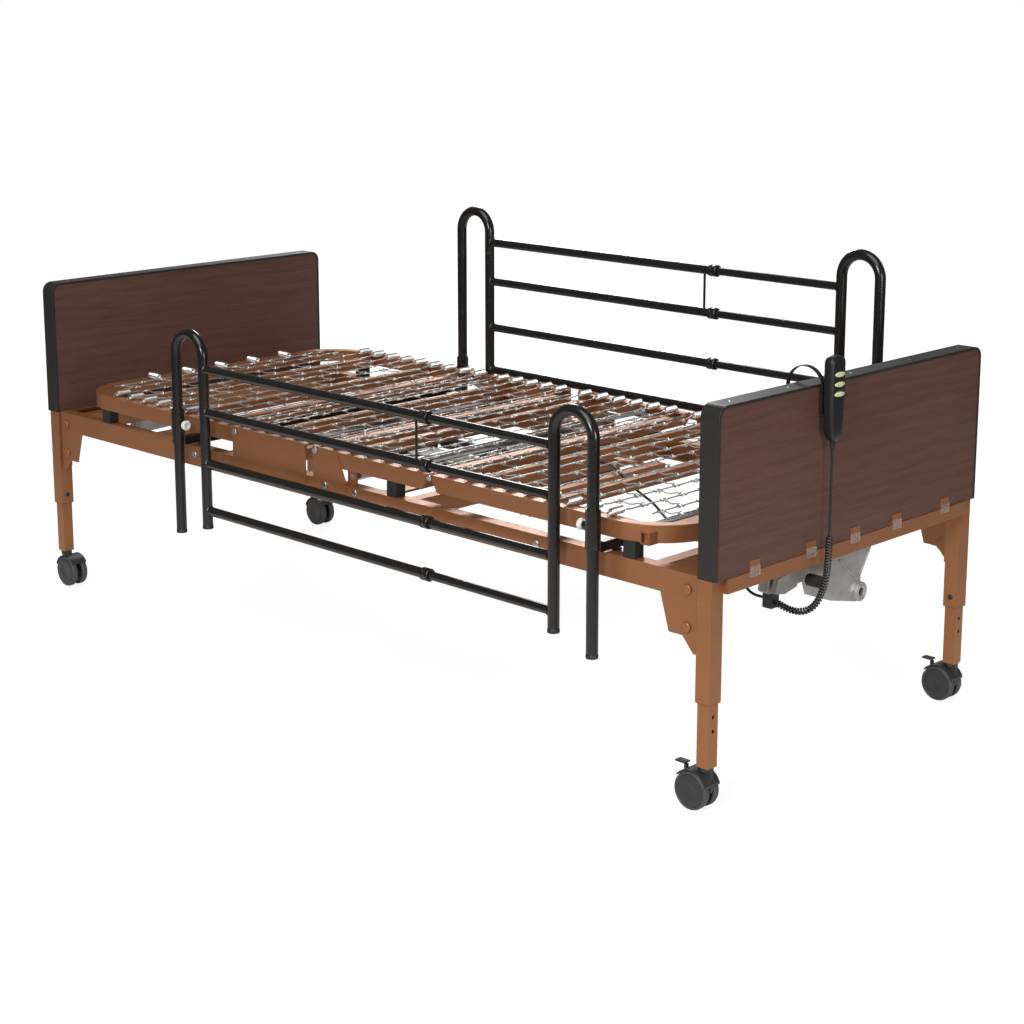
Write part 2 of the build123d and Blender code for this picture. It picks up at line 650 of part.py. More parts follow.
def fabric(x0, x1):
    """Flat stand-in of the wire link fabric between two X places: a grid of crossing wires."""
    rows = round((x1 - x0) / FABRIC_PITCH)
    row_pitch = (x1 - x0 - FABRIC_WIRE) / rows
    column_pitch = (2 * FABRIC_HALF - FABRIC_WIRE) / FABRIC_COLUMNS
    sheet = Rectangle(x1 - x0, 2 * FABRIC_HALF)
    holes = GridLocations(row_pitch, column_pitch, rows, FABRIC_COLUMNS)
    hole = Rectangle(row_pitch - FABRIC_WIRE, column_pitch - FABRIC_WIRE)
    grid = sheet - [place * hole for place in holes]
    return [extrude(Pos((x0 + x1) / 2, 0, FABRIC_BOTTOM) * grid, FABRIC_THICK)]


def side_springs(x0, x1):
    """Helical springs between the fabric's edge and the side angles, as plain cylinders."""
    count = round((x1 - x0) / FABRIC_PITCH)
    pitch = (x1 - x0) / count
    start = FABRIC_HALF + SPRING_REST
    return both([bar((x0 + pitch * (i + 0.5), start, SPRING_Z),
                     (x0 + pitch * (i + 0.5), start + SPRING_LENGTH, SPRING_Z), SPRING_RADIUS)
                 for i in range(count)])


def end_springs(x0):
    """Helical springs between the fabric and a rounded end, as plain cylinders."""
    pitch = 2 * FABRIC_PITCH
    count = 5
    return [bar((x0, pitch * (i - (count - 1) / 2), SPRING_Z),
                (x0 + SPRING_LENGTH, pitch * (i - (count - 1) / 2), SPRING_Z), SPRING_RADIUS)
            for i in range(count)]


HEAD_FABRIC = (-DECK_HALF + END_INSET, HEAD_PIVOT[0] - FABRIC_INSET)
SEAT_FABRIC = (HEAD_PIVOT[0] + FABRIC_INSET, KNEE_PIVOT[0] - FABRIC_INSET)
THIGH_FABRIC = (KNEE_PIVOT[0] + FABRIC_INSET, FOLD_PIVOT[0] - FABRIC_INSET)
FOOT_FABRIC = (FOLD_PIVOT[0] + FABRIC_INSET, DECK_HALF - END_INSET)
CORNER_CLEAR = DECK_CORNER - END_INSET


def section_springs(span, head_end=False, foot_end=False):
    """The springs round one section's fabric."""
    x0 = span[0] + (CORNER_CLEAR if head_end else 0)
    x1 = span[1] - (CORNER_CLEAR if foot_end else 0)
    springs = side_springs(x0, x1)
    if head_end:
        springs += end_springs(span[0] - SPRING_LENGTH - SPRING_REST)
    if foot_end:
        springs += end_springs(span[1] + SPRING_REST)
    return springs


# ---- lifts ----
def lift_arm(x, side, lever_y, lever_angle):
    """Lift tube with two arms, their rollers, and the lever its rod pushes; side is +1 towards +X."""
    centre = (x, LIFT_HEIGHT)
    tip = (x + side * LIFT_REACH, LIFT_HEIGHT + LIFT_RISE)
    y0, y1 = LIFT_ARM_Y, LIFT_ARM_Y + LIFT_ARM_THICK
    tube = bar((x, -y0, LIFT_HEIGHT), (x, y0, LIFT_HEIGHT), LIFT_TUBE)
    up = Vector(-side * LIFT_RISE, 0, LIFT_REACH).normalized() * LIFT_ARM_HALF
    outline = [(centre[0] + up.X, y0, centre[1] + up.Z), (tip[0] + up.X, y0, tip[1] + up.Z),
               (tip[0] - up.X, y0, tip[1] - up.Z), (centre[0] - up.X, y0, centre[1] - up.Z)]
    arm = prism(outline, (0, LIFT_ARM_THICK, 0))
    arm += bar((x, y0, LIFT_HEIGHT), (x, y1, LIFT_HEIGHT), LIFT_TUBE)
    arm += bar((tip[0], y0, tip[1]), (tip[0], y1, tip[1]), LIFT_ARM_HALF)
    stub_end = y1 + ROLLER_WIDTH / 2 + BRACKET_THICK
    arm += bar((x, y1, LIFT_HEIGHT), (x, stub_end, LIFT_HEIGHT), STUB_RADIUS)
    roller = bar((tip[0], y1, tip[1]), (tip[0], y1 + ROLLER_WIDTH, tip[1]), ROLLER)
    swing = math.radians(lever_angle)
    foot = (x - side * LEVER * math.sin(swing), LIFT_HEIGHT - LEVER * math.cos(swing))
    lever = bar((x, lever_y, LIFT_HEIGHT), (foot[0], lever_y, foot[1]), LEVER_HALF)
    lever -= bar((x, lever_y - 20, LIFT_HEIGHT), (x, lever_y + 20, LIFT_HEIGHT), LIFT_TUBE)
    pin = bar((foot[0], lever_y - 12, foot[1]), (foot[0], lever_y + 12, foot[1]), LEVER_PIN)
    return both([arm, roller]) + [tube, lever - pin, pin]


def push_rod(x, side, lever_y, lever_angle):
    """Rod with a push pad that bears on a lift's lever; side is +1 towards +X."""
    foot_x = x - side * LEVER * math.sin(math.radians(lever_angle))
    face = foot_x - side * (LEVER_PIN + PUSH_GAP)
    back = face - side * PUSH_PAD
    pad = block(min(face, back), max(face, back), lever_y - 12, lever_y + 12,
                ROD_HEIGHT - PUSH_PAD_HALF, ROD_HEIGHT + PUSH_PAD_TOP)
    return [pad, bar((back, lever_y, ROD_HEIGHT), (back - side * ROD_INSERT, lever_y, ROD_HEIGHT), ROD_RADIUS)]


# ---- drives ----
def motor_box(x0, x1, y0, y1):
    """Motor casing with rounded vertical corners."""
    casing = block(x0, x1, y0, y1, MOTOR_BOTTOM, MOTOR_TOP)
    return fillet(casing.edges().filter_by(Axis.Z), 8)


def rod_tube(x0, x1, y):
    """Fixed outer tube that a push rod slides in."""
    return bar((x0, y, ROD_HEIGHT), (x1, y, ROD_HEIGHT), ROD_TUBE, ROD_RADIUS + ROD_FIT)


def motor_housing():
    """Head, knee and height motors, the tubes of the two rods, and the lead junction under the gearbox."""
    head = motor_box(-60, 215, HEAD_ROD_Y - 50, HEAD_ROD_Y + 180)
    knee = motor_box(-345, -200, KNEE_ROD_Y - 45, KNEE_ROD_Y + 60)
    height = motor_box(*HILO_BOX, DRIVE_Y - 40, DRIVE_Y + 40)
    tubes = [rod_tube(-235, -60, HEAD_ROD_Y), rod_tube(-200, -20, KNEE_ROD_Y)]
    junction = block(JUNCTION_X - JUNCTION_HALF, JUNCTION_X + JUNCTION_HALF, JUNCTION_Y - 26, JUNCTION_Y,
                     ARM_BOTTOM - JUNCTION_DEPTH, ARM_BOTTOM)
    return [head, knee, height, junction] + tubes


def drive_shafts():
    """The two long shafts from the height motor to the end gearboxes."""
    stop = END_X - GEARBOX_BACK
    gap = DRIVE_FIT
    return [bar((HILO_BOX[1] + gap, DRIVE_Y, DRIVE_HEIGHT), (stop - gap, DRIVE_Y, DRIVE_HEIGHT), DRIVE_RADIUS),
            bar((HILO_BOX[0] - gap, DRIVE_Y, DRIVE_HEIGHT), (-stop + gap, DRIVE_Y, DRIVE_HEIGHT), DRIVE_RADIUS)]


def gearbox():
    """Die-cast gearbox under the foot channel: flange, body, crank boss and side arm."""
    back = END_X - GEARBOX_BACK
    front = END_X - GEARBOX_FRONT
    top = PANEL_BOTTOM - CHANNEL_DEPTH
    outline = [(-88, top - 6), (-88, top), (78, top), (78, top - 9), (CRANK_Y + 14, 388),
               (CRANK_Y + 14, CRANK_HEIGHT), (CRANK_Y, GEARBOX_BOTTOM), (-62, GEARBOX_BOTTOM + 22), (-76, 390)]
    body = prism([(back, y, z) for y, z in outline], (front - back, 0, 0))
    centre = (CRANK_Y, CRANK_HEIGHT)
    body += bar((back - 10, *centre), (front + 12, *centre), CRANK_BOSS)
    body -= bar((front + 12 - CRANK_DEPTH, *centre), (front + 20, *centre), CRANK_BORE)
    screw = (LIFT_SCREW_Y, GEARBOX_BOTTOM - 20)
    body -= bar((LEG_X, *screw), (LEG_X, LIFT_SCREW_Y, top + 5), LIFT_SCREW_RADIUS + LIFT_SCREW_FIT)
    arm = prism([(back, -76, 425), (back, -150, 436), (back, -214, 428), (back, -222, 396),
                 (back, -214, ARM_BOTTOM), (back, -168, ARM_BOTTOM), (back, -76, 394)], (24, 0, 0))
    fork = prism([(back + 34, -150, 434), (back + 34, -214, 426), (back + 34, -222, 396),
                  (back + 34, -190, ARM_BOTTOM), (back + 34, -150, 398)], (12, 0, 0))
    bridge = block(back + 24, back + 34, -166, -150, 400, 432)
    return [body, arm + bridge + fork]


def gearbox_buffers():
    """Rubber-covered couplings beside the two gearboxes."""
    back = END_X - GEARBOX_BACK
    return ends([bar((back + 48, BUFFER_Y, BUFFER_HEIGHT), (back + 78, BUFFER_Y, BUFFER_HEIGHT), BUFFER_RADIUS)])


# ---- casters, made for the far corner at the foot end ----
def caster_fork(brake):
    """Stem, fork and hood of a caster that trails towards -X."""
    axle_x = LEG_X - TRAIL
    outer = WHEEL_RADIUS + HOOD_GAP + HOOD_THICK
    inner = WHEEL_RADIUS + HOOD_GAP
    half = WHEEL_SPREAD + WHEEL_WIDTH / 2
    stem = bar((LEG_X, LEG_Y, FORK_TOP), (LEG_X, LEG_Y, FORK_TOP + 45), STEM)
    web = bar((axle_x, LEG_Y - FORK_THICK / 2, WHEEL_RADIUS), (axle_x, LEG_Y + FORK_THICK / 2, WHEEL_RADIUS), 22)
    web += block(LEG_X - 18, LEG_X + 14, LEG_Y - FORK_THICK / 2, LEG_Y + FORK_THICK / 2, WHEEL_RADIUS, FORK_TOP)
    web += bar((LEG_X, LEG_Y, FORK_TOP - 8), (LEG_X, LEG_Y, FORK_TOP), 14)
    hood = bar((axle_x, LEG_Y - half, WHEEL_RADIUS), (axle_x, LEG_Y + half, WHEEL_RADIUS), outer, inner)
    hood &= block(axle_x - 34, axle_x + 40, LEG_Y - half - 1, LEG_Y + half + 1, WHEEL_RADIUS + 12, FORK_TOP)
    axle = bar((axle_x, LEG_Y - half, WHEEL_RADIUS), (axle_x, LEG_Y + half, WHEEL_RADIUS), AXLE)
    pieces = [web + hood + stem + axle]
    if brake:
        lug = block(axle_x - LUG_FAR * WHEEL_RADIUS, axle_x - LUG_NEAR * WHEEL_RADIUS, LEG_Y - 4, LEG_Y + 4,
                    (1 + LUG_FAR) * WHEEL_RADIUS, WHEEL_RADIUS + outer)
        pieces = [pieces[0] + lug]
    return pieces


def caster_wheels():
    """The two wheel discs on one axle."""
    axle_x = LEG_X - TRAIL
    wheels = []
    for side in (-1, 1):
        middle = LEG_Y + side * WHEEL_SPREAD
        disc = bar((axle_x, middle - WHEEL_WIDTH / 2, WHEEL_RADIUS),
                   (axle_x, middle + WHEEL_WIDTH / 2, WHEEL_RADIUS), WHEEL_RADIUS, AXLE + AXLE_FIT)
        wheels.append(disc)
    return wheels


def brake_pedal():
    """Foot pedal on the trailing side of a caster's hood."""
    hinge_x = LEG_X - TRAIL - LUG_FAR * WHEEL_RADIUS
    length, width, thick = PEDAL
    base = WHEEL_RADIUS + WHEEL_RADIUS + HOOD_GAP + HOOD_THICK + 2
    plate = block(hinge_x - length, hinge_x + 6, LEG_Y - width / 2, LEG_Y + width / 2, base, base + thick)
    return [plate]


# ---- side rails, made on the far side at the lowered height ----
def post(x, top, length):
    """Upright tube that ends under a hoop."""
    return bar((x, RAIL_Y, top - length), (x, RAIL_Y, top), RAIL_RADIUS)


def hoop(x, inward, apex):
    """Half-ring, in four arcs, that joins an outer post at x to the inner post; inward is +1 towards +X."""
    radius = HOOP_WIDTH / 2
    middle = x + inward * radius
    height = apex - RAIL_RADIUS - radius
    ring = Pos(middle, RAIL_Y, height) * (Rot(90, 0, 0) * Torus(radius, RAIL_RADIUS))
    reach = 2 * radius
    arcs = []
    for quarter in range(HOOP_ARCS):
        low, high = (math.pi * (quarter + step) / HOOP_ARCS for step in (0, 1))
        centre = (middle, RAIL_Y - 30, height)
        corners = [(middle + reach * math.cos(angle), RAIL_Y - 30, height + reach * math.sin(angle))
                   for angle in (low, high)]
        arcs.append(ring & prism([centre] + corners, (0, 60, 0)))
    return arcs


def rail_head(apex):
    """Head half of a side rail: hoop, posts, the four large tubes and a tie rod."""
    straight = apex - RAIL_RADIUS - HOOP_WIDTH / 2
    inner_x = HEAD_POST_X + HOOP_WIDTH
    pieces = [post(HEAD_POST_X, straight, straight - (apex - POST_LENGTH)),
              post(inner_x, straight, straight - (apex - INNER_POST_LENGTH)), *hoop(HEAD_POST_X, 1, apex)]
    inner_post = bar((inner_x, RAIL_Y, apex - 700), (inner_x, RAIL_Y, apex), RAIL_RADIUS)
    for drop in BAR_DROPS:
        z = apex - drop
        tube = bar((inner_x, RAIL_Y, z), (RAIL_JOINT_X, RAIL_Y, z), RAIL_RADIUS - 1.5, RAIL_BORE)
        collar = bar((RAIL_JOINT_X - JOINT_COLLAR_LENGTH, RAIL_Y, z), (RAIL_JOINT_X, RAIL_Y, z),
                     JOINT_COLLAR, RAIL_BORE)
        pieces.append(tube + collar - inner_post)
    skin = RAIL_RADIUS - 1.5
    pieces.append(bar((TIE_X, RAIL_Y, apex - BAR_DROPS[1] + skin), (TIE_X, RAIL_Y, apex - BAR_DROPS[0] - skin),
                      TIE_RADIUS))
    return pieces


def rail_foot(apex):
    """Foot half of a side rail: hoop, posts and the four small tubes that slide in the large ones."""
    straight = apex - RAIL_RADIUS - HOOP_WIDTH / 2
    inner_x = FOOT_POST_X - HOOP_WIDTH
    pieces = [post(FOOT_POST_X, straight, straight - (apex - POST_LENGTH)),
              post(inner_x, straight, straight - (apex - INNER_POST_LENGTH)), *hoop(FOOT_POST_X, -1, apex)]
    inner_post = bar((inner_x, RAIL_Y, apex - 700), (inner_x, RAIL_Y, apex), RAIL_RADIUS)
    for drop in BAR_DROPS:
        z = apex - drop
        pieces.append(bar((RAIL_JOINT_X - RAIL_OVERLAP, RAIL_Y, z), (inner_x, RAIL_Y, z), SLIDER_RADIUS)
                      - inner_post)
    return pieces


def crossbar(x, inward):
    """Crossbar under the deck with a post collar, a knob boss and a rail hook at each end."""
    half = CROSSBAR / 2
    centre = square_tube(x - half, x + half, -CROSSBAR_OUTER_HALF, CROSSBAR_OUTER_HALF,
                         CROSSBAR_BOTTOM, CROSSBAR_TOP, CROSSBAR_WALL, "y")
    inner = CROSSBAR_INNER / 2
    middle = (CROSSBAR_BOTTOM + CROSSBAR_TOP) / 2
    sleeve = bar((x, RAIL_Y, COLLAR_BOTTOM), (x, RAIL_Y, COLLAR_TOP), COLLAR_RADIUS, COLLAR_BORE)
    arm = block(x - inner, x + inner, CROSSBAR_OUTER_HALF - 60, RAIL_Y, middle - inner, middle + inner)
    arm -= bar((x, RAIL_Y, CROSSBAR_BOTTOM - 5), (x, RAIL_Y, COLLAR_TOP), COLLAR_RADIUS)
    post_clear = bar((x, RAIL_Y, 0), (x, RAIL_Y, 1000), COLLAR_BORE)
    arm -= post_clear
    boss = bar((x, RAIL_Y, KNOB_HEIGHT), (x + inward * (COLLAR_RADIUS + KNOB_BOSS_LENGTH), RAIL_Y, KNOB_HEIGHT),
               KNOB_BOSS)
    boss -= bar((x, RAIL_Y, COLLAR_BOTTOM), (x, RAIL_Y, COLLAR_TOP), COLLAR_RADIUS)
    pin = bar((x, RAIL_Y, KNOB_HEIGHT), (x + inward * 60, RAIL_Y, KNOB_HEIGHT), KNOB_PIN + KNOB_PIN_FIT)
    sleeve -= pin
    boss -= pin
    hook_y = SIDE - RAIL_FLANGE - 1
    hook = block(x - 10, x + 10, hook_y - 10, hook_y, RAIL_TOP - STEEL - 6, CROSSBAR_BOTTOM)
    return both([sleeve, boss, arm, hook]) + [centre]


def knob(x, inward):
    """Pull knob with its spring pin."""
    face = x + inward * (COLLAR_RADIUS + KNOB_BOSS_LENGTH + KNOB_LIFT)
    head = bar((face, RAIL_Y, KNOB_HEIGHT), (face + inward * KNOB_WIDTH, RAIL_Y, KNOB_HEIGHT), KNOB_RADIUS)
    tip = x + inward * (COLLAR_BORE + 0.2)
    return [head + bar((tip, RAIL_Y, KNOB_HEIGHT), (face, RAIL_Y, KNOB_HEIGHT), KNOB_PIN)]


# ---- pendant ----
def oval(y, z, length, height):
    """Key outline in the YZ plane."""
    plane = Plane(origin=(0, y, z), x_dir=(0, 1, 0), z_dir=(1, 0, 0))
    return plane * Ellipse(length / 2, height / 2)


def pendant_shell():
    """Pendant casing with a pocket for each key."""
    half = PENDANT_WIDTH / 2
    shell = block(PENDANT_BACK, PENDANT_FRONT, PENDANT_Y - half, PENDANT_Y + half, PENDANT_BOTTOM, PENDANT_TOP)
    shell = fillet(shell.edges().filter_by(Axis.X), 12)
    rim = shell.faces().sort_by(Axis.X)[-1].edges()
    shell = fillet(rim, 4)
    for z in KEY_HEIGHTS:
        pocket = extrude(oval(PENDANT_Y, z, KEY_LENGTH + 2 * KEY_FIT, KEY_HEIGHT + 2 * KEY_FIT),
                         amount=KEY_POCKET + 5, dir=(1, 0, 0))
        shell -= Pos(PENDANT_FRONT - KEY_POCKET, 0, 0) * pocket
    return [shell]


def pendant_key(z):
    """One two-way rocker key."""
    depth = KEY_POCKET - KEY_GAP + KEY_PROUD
    key = extrude(oval(PENDANT_Y, z, KEY_LENGTH, KEY_HEIGHT), amount=depth, dir=(1, 0, 0))
    return [Pos(PENDANT_FRONT + KEY_PROUD - depth, 0, 0) * key]


def pendant_hook():
    """Bent strap on the pendant's back that hangs over the panel's top."""
    centre_x = PENDANT_BACK - 45
    centre_z = PANEL_TOP - 12
    radius = PENDANT_BACK - centre_x
    y0 = PENDANT_Y - PENDANT_WIDTH / 2 + 2
    arch = bar((centre_x, y0, centre_z), (centre_x, y0 + HOOK_WIDTH, centre_z), radius, radius - HOOK_THICK)
    arch &= block(centre_x - 60, centre_x + 60, y0 - 1, y0 + HOOK_WIDTH + 1, centre_z, centre_z + 60)
    leg = block(PENDANT_BACK - HOOK_THICK, PENDANT_BACK, y0, y0 + HOOK_WIDTH, centre_z - 50, centre_z)
    return [arch + leg]


def pendant_relief():
    """Tapered strain relief under the pendant."""
    x = (PENDANT_BACK + PENDANT_FRONT) / 2
    relief = Cone(4.0, 6.0, RELIEF_LENGTH, align=(Align.CENTER, Align.CENTER, Align.MIN))
    return [Pos(x, PENDANT_Y, PENDANT_BOTTOM - RELIEF_LENGTH) * relief]


# Route of the pendant lead, bed frame: straight down from the relief, then the curly length
# that passes under the foot channel to its socket beside the gearbox.
LEAD_X = (PENDANT_BACK + PENDANT_FRONT) / 2
CURL_TOP = 512.0
CORD_ROUTE = [(LEAD_X, PENDANT_Y, PENDANT_BOTTOM - RELIEF_LENGTH), (LEAD_X, PENDANT_Y, CURL_TOP)]
CURL_ROUTE = [(LEAD_X, PENDANT_Y, CURL_TOP), (LEAD_X, PENDANT_Y, 450.0), (LEAD_X - 2, PENDANT_Y - 10, 398.0),
              (LEAD_X - 14, PENDANT_Y - 30, 356.0), (LEAD_X - 42, PENDANT_Y - 64, 352.0),
              (JUNCTION_X + JUNCTION_HALF - 1, PENDANT_Y - 76, 372.0)]


def routed_tube(route, radius):
    """Round tube along straight runs joined by arcs as large as the runs allow."""
    points = [Vector(*point) for point in route]
    if len(points) == 2:
        return bar(route[0], route[1], radius)
    radii = []
    for before, corner, after in zip(points, points[1:], points[2:]):
        first, second = corner - before, after - corner
        turn = math.radians(first.get_angle(second))
        radii.append(0.45 * min(first.length, second.length) / math.tan(turn / 2))
    print("arc radii", [round(value) for value in radii])
    path = FilletPolyline(*points, radius=radii)
    start = Plane(origin=path @ 0, z_dir=path % 0)
    return sweep(start * Circle(radius), path=path)


# Route of the fixed lead that the underside holds, from the head motor to the foot gearbox.
LEAD_ROUTE = [(196.0, 120.0, MOTOR_TOP), (196.0, 120.0, 492.0), (232.0, 116.0, 500.0), (288.0, 98.0, 492.0),
              (346.0, 96.0, 488.0), (396.0, 86.0, 490.0),
              (444.0, 52.0, 488.0), (496.0, 20.0, 482.0), (550.0, -4.0, 472.0), (606.0, -14.0, 456.0),
              (660.0, -40.0, 440.0), (712.0, -72.0, 436.0), (766.0, -98.0, 440.0), (824.0, -112.0, 438.0),
              (880.0, -126.0, 424.0), (932.0, -148.0, 410.0), (980.0, -172.0, 390.0),
              (1022.0, JUNCTION_Y - 10, 372.0), (JUNCTION_X - JUNCTION_HALF, JUNCTION_Y - 10, 372.0)]


def main():
    """Build every node and write it."""
    os.makedirs("parts", exist_ok=True)
    save("head_panel_boards", [other_end(piece) for piece in panel_boards()])
    save("foot_panel_boards", panel_boards())
    save("head_panel_trim", [other_end(piece) for piece in panel_trim()])
    save("foot_panel_trim", panel_trim())
    end_frame = outer_legs() + panel_channel() + leg_brackets()
    save("head_end_frame", [other_end(piece) for piece in end_frame])
    save("foot_end_frame", end_frame)
    save("panel_clips", panel_clips())
    save("leg_glides", leg_glides())
    save("head_leg_yoke", [other_end(piece) for piece in leg_yoke()])
    save("foot_leg_yoke", leg_yoke())

    save("head_main_frame", head_main_frame())
    save("foot_main_frame", foot_main_frame())
    save("frame_bolts", frame_bolts() + pivot_bolts())
    save("rubber_bumpers", rubber_bumpers() + gearbox_buffers())

    save("head_deck_frame", head_deck_frame())
    save("thigh_frame", thigh_frame())
    save("foot_deck_frame", foot_deck_frame())
    save("knee_bolts", knee_bolts())
    save("head_fabric", fabric(*HEAD_FABRIC) + section_springs(HEAD_FABRIC, head_end=True))
    save("seat_fabric", fabric(*SEAT_FABRIC) + section_springs(SEAT_FABRIC))
    save("thigh_fabric", fabric(*THIGH_FABRIC) + section_springs(THIGH_FABRIC))
    save("foot_fabric", fabric(*FOOT_FABRIC) + section_springs(FOOT_FABRIC, foot_end=True))

    save("head_lift_arm", lift_arm(HEAD_LIFT_X, -1, HEAD_ROD_Y, HEAD_LEVER_ANGLE))
    save("knee_lift_arm", lift_arm(KNEE_LIFT_X, 1, KNEE_ROD_Y, KNEE_LEVER_ANGLE))
    save("head_rod", push_rod(HEAD_LIFT_X, -1, HEAD_ROD_Y, HEAD_LEVER_ANGLE))
    save("knee_rod", push_rod(KNEE_LIFT_X, 1, KNEE_ROD_Y, KNEE_LEVER_ANGLE))
    save("motor_housing", motor_housing())
    save("drive_shafts", drive_shafts())
    save("head_gearbox", [other_end(piece) for piece in gearbox()])
    save("foot_gearbox", gearbox())

    corners = {"far_foot": (False, False), "near_foot": (True, False),
               "far_head": (False, True), "near_head": (True, True)}
    for corner, (near, head) in corners.items():
        pieces = {"fork": caster_fork(brake=not head), "wheels": caster_wheels()}
        if not head:
            pieces["pedal"] = brake_pedal()
        for kind, solids in pieces.items():
            if near:
                solids = [far_side(piece) for piece in solids]
            if head:
                solids = [other_end(piece) for piece in solids]
            save(f"{corner}_caster_{kind}", solids)

    far_apex = NEAR_APEX + FAR_RAISE
    save("near_rail_head", [far_side(piece) for piece in rail_head(NEAR_APEX)])
    save("near_rail_foot", [far_side(piece) for piece in rail_foot(NEAR_APEX)])
    save("far_rail_head", rail_head(far_apex))
    save("far_rail_foot", rail_foot(far_apex))
    save("head_crossbar", crossbar(HEAD_POST_X, 1))
    save("foot_crossbar", crossbar(FOOT_POST_X, -1))
    for end, x, inward in (("head", HEAD_POST_X, 1), ("foot", FOOT_POST_X, -1)):
        save(f"far_{end}_knob", knob(x, inward))
        save(f"near_{end}_knob", [far_side(piece) for piece in knob(x, inward)])

    save("pendant_shell", pendant_shell())
    for name, z in zip(("head_key", "knee_key", "height_key"), KEY_HEIGHTS):
        save(name, pendant_key(z))
    save("pendant_hook", pendant_hook())
    save("pendant_relief", pendant_relief())
    save("pendant_cord", [routed_tube(CORD_ROUTE, CORD_RADIUS)])
    save("pendant_curl", [routed_tube(CURL_ROUTE, CURL_RADIUS)])
    save("motor_lead", [routed_tube(LEAD_ROUTE, CORD_RADIUS + 0.5)])


main()
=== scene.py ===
"""Looks of an adjustable hospital bed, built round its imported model.

Lengths inside the classes are in millimetres in the bed's own frame: X along the bed from its
middle towards the foot, Y across it, Z up from the floor. ``Place`` turns them into metres in the
object's frame.
"""

import json
import logging
import math
from dataclasses import dataclass, field
from enum import Enum
from typing import ClassVar

import bmesh
import bpy
import numpy as np
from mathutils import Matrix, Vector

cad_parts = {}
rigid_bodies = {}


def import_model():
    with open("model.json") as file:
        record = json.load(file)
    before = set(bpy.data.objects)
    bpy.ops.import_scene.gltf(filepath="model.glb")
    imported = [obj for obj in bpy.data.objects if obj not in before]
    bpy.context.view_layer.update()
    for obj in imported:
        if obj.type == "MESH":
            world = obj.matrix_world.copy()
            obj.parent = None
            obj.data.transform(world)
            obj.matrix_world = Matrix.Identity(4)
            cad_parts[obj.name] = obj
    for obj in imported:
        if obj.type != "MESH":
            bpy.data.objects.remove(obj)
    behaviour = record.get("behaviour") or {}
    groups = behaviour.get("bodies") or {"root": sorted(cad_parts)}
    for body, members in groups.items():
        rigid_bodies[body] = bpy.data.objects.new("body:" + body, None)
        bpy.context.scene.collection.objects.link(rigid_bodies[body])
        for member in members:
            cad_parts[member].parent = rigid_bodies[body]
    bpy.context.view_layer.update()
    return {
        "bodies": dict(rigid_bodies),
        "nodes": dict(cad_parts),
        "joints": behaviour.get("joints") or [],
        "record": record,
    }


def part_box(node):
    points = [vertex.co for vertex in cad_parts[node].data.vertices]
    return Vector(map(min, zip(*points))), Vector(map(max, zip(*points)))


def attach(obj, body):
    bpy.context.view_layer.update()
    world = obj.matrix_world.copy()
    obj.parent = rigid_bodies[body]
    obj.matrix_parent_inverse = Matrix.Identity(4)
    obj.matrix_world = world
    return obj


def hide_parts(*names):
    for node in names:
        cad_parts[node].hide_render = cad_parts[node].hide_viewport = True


log = logging.getLogger("hospital_bed")
Point = tuple[float, float, float]
TURN = 2 * math.pi


class Axis(Enum):
    """Direction that a turned or pushed shape follows, with the two directions square to it."""

    X = ((0, 1, 0), (0, 0, 1), (1, 0, 0))
    Y = ((0, 0, 1), (1, 0, 0), (0, 1, 0))
    Z = ((1, 0, 0), (0, 1, 0), (0, 0, 1))


# ---------------------------------------------------------------- shader maths
class Value:
    """A shader socket whose arithmetic adds Math nodes."""

    def __init__(self, shader: "Shader", socket: bpy.types.NodeSocket) -> None:
        """Wrap a socket of a shader."""
        self.shader = shader
        self.socket = socket

    def _math(self, operation: str, *terms: "Value | float") -> "Value":
        """Add one Math node over the terms."""
        return self.shader.node("ShaderNodeMath", {"operation": operation}, dict(enumerate(terms)))

    def __add__(self, other: "Value | float") -> "Value":
        """Sum."""
        return self._math("ADD", self, other)

    __radd__ = __add__

    def __sub__(self, other: "Value | float") -> "Value":
        """Difference."""
        return self._math("SUBTRACT", self, other)

    def __rsub__(self, other: float) -> "Value":
        """Difference with the number first."""
        return self._math("SUBTRACT", other, self)

    def __mul__(self, other: "Value | float") -> "Value":
        """Product."""
        return self._math("MULTIPLY", self, other)

    __rmul__ = __mul__

    def __truediv__(self, other: "Value | float") -> "Value":
        """Quotient."""
        return self._math("DIVIDE", self, other)

    def __rtruediv__(self, other: float) -> "Value":
        """Quotient with the number first."""
        return self._math("DIVIDE", other, self)

    def above(self, edge: float, width: float) -> "Value":
        """Soft step: 0 below the edge and 1 above it, over a width.

        Args:
            edge: the value at the middle of the step.
            width: how wide the step is.

        Returns:
            The step, held between 0 and 1.
        """
        step = (self - (edge - width / 2)) / width
        return self.shader.node("ShaderNodeClamp", {}, {"Value": step})


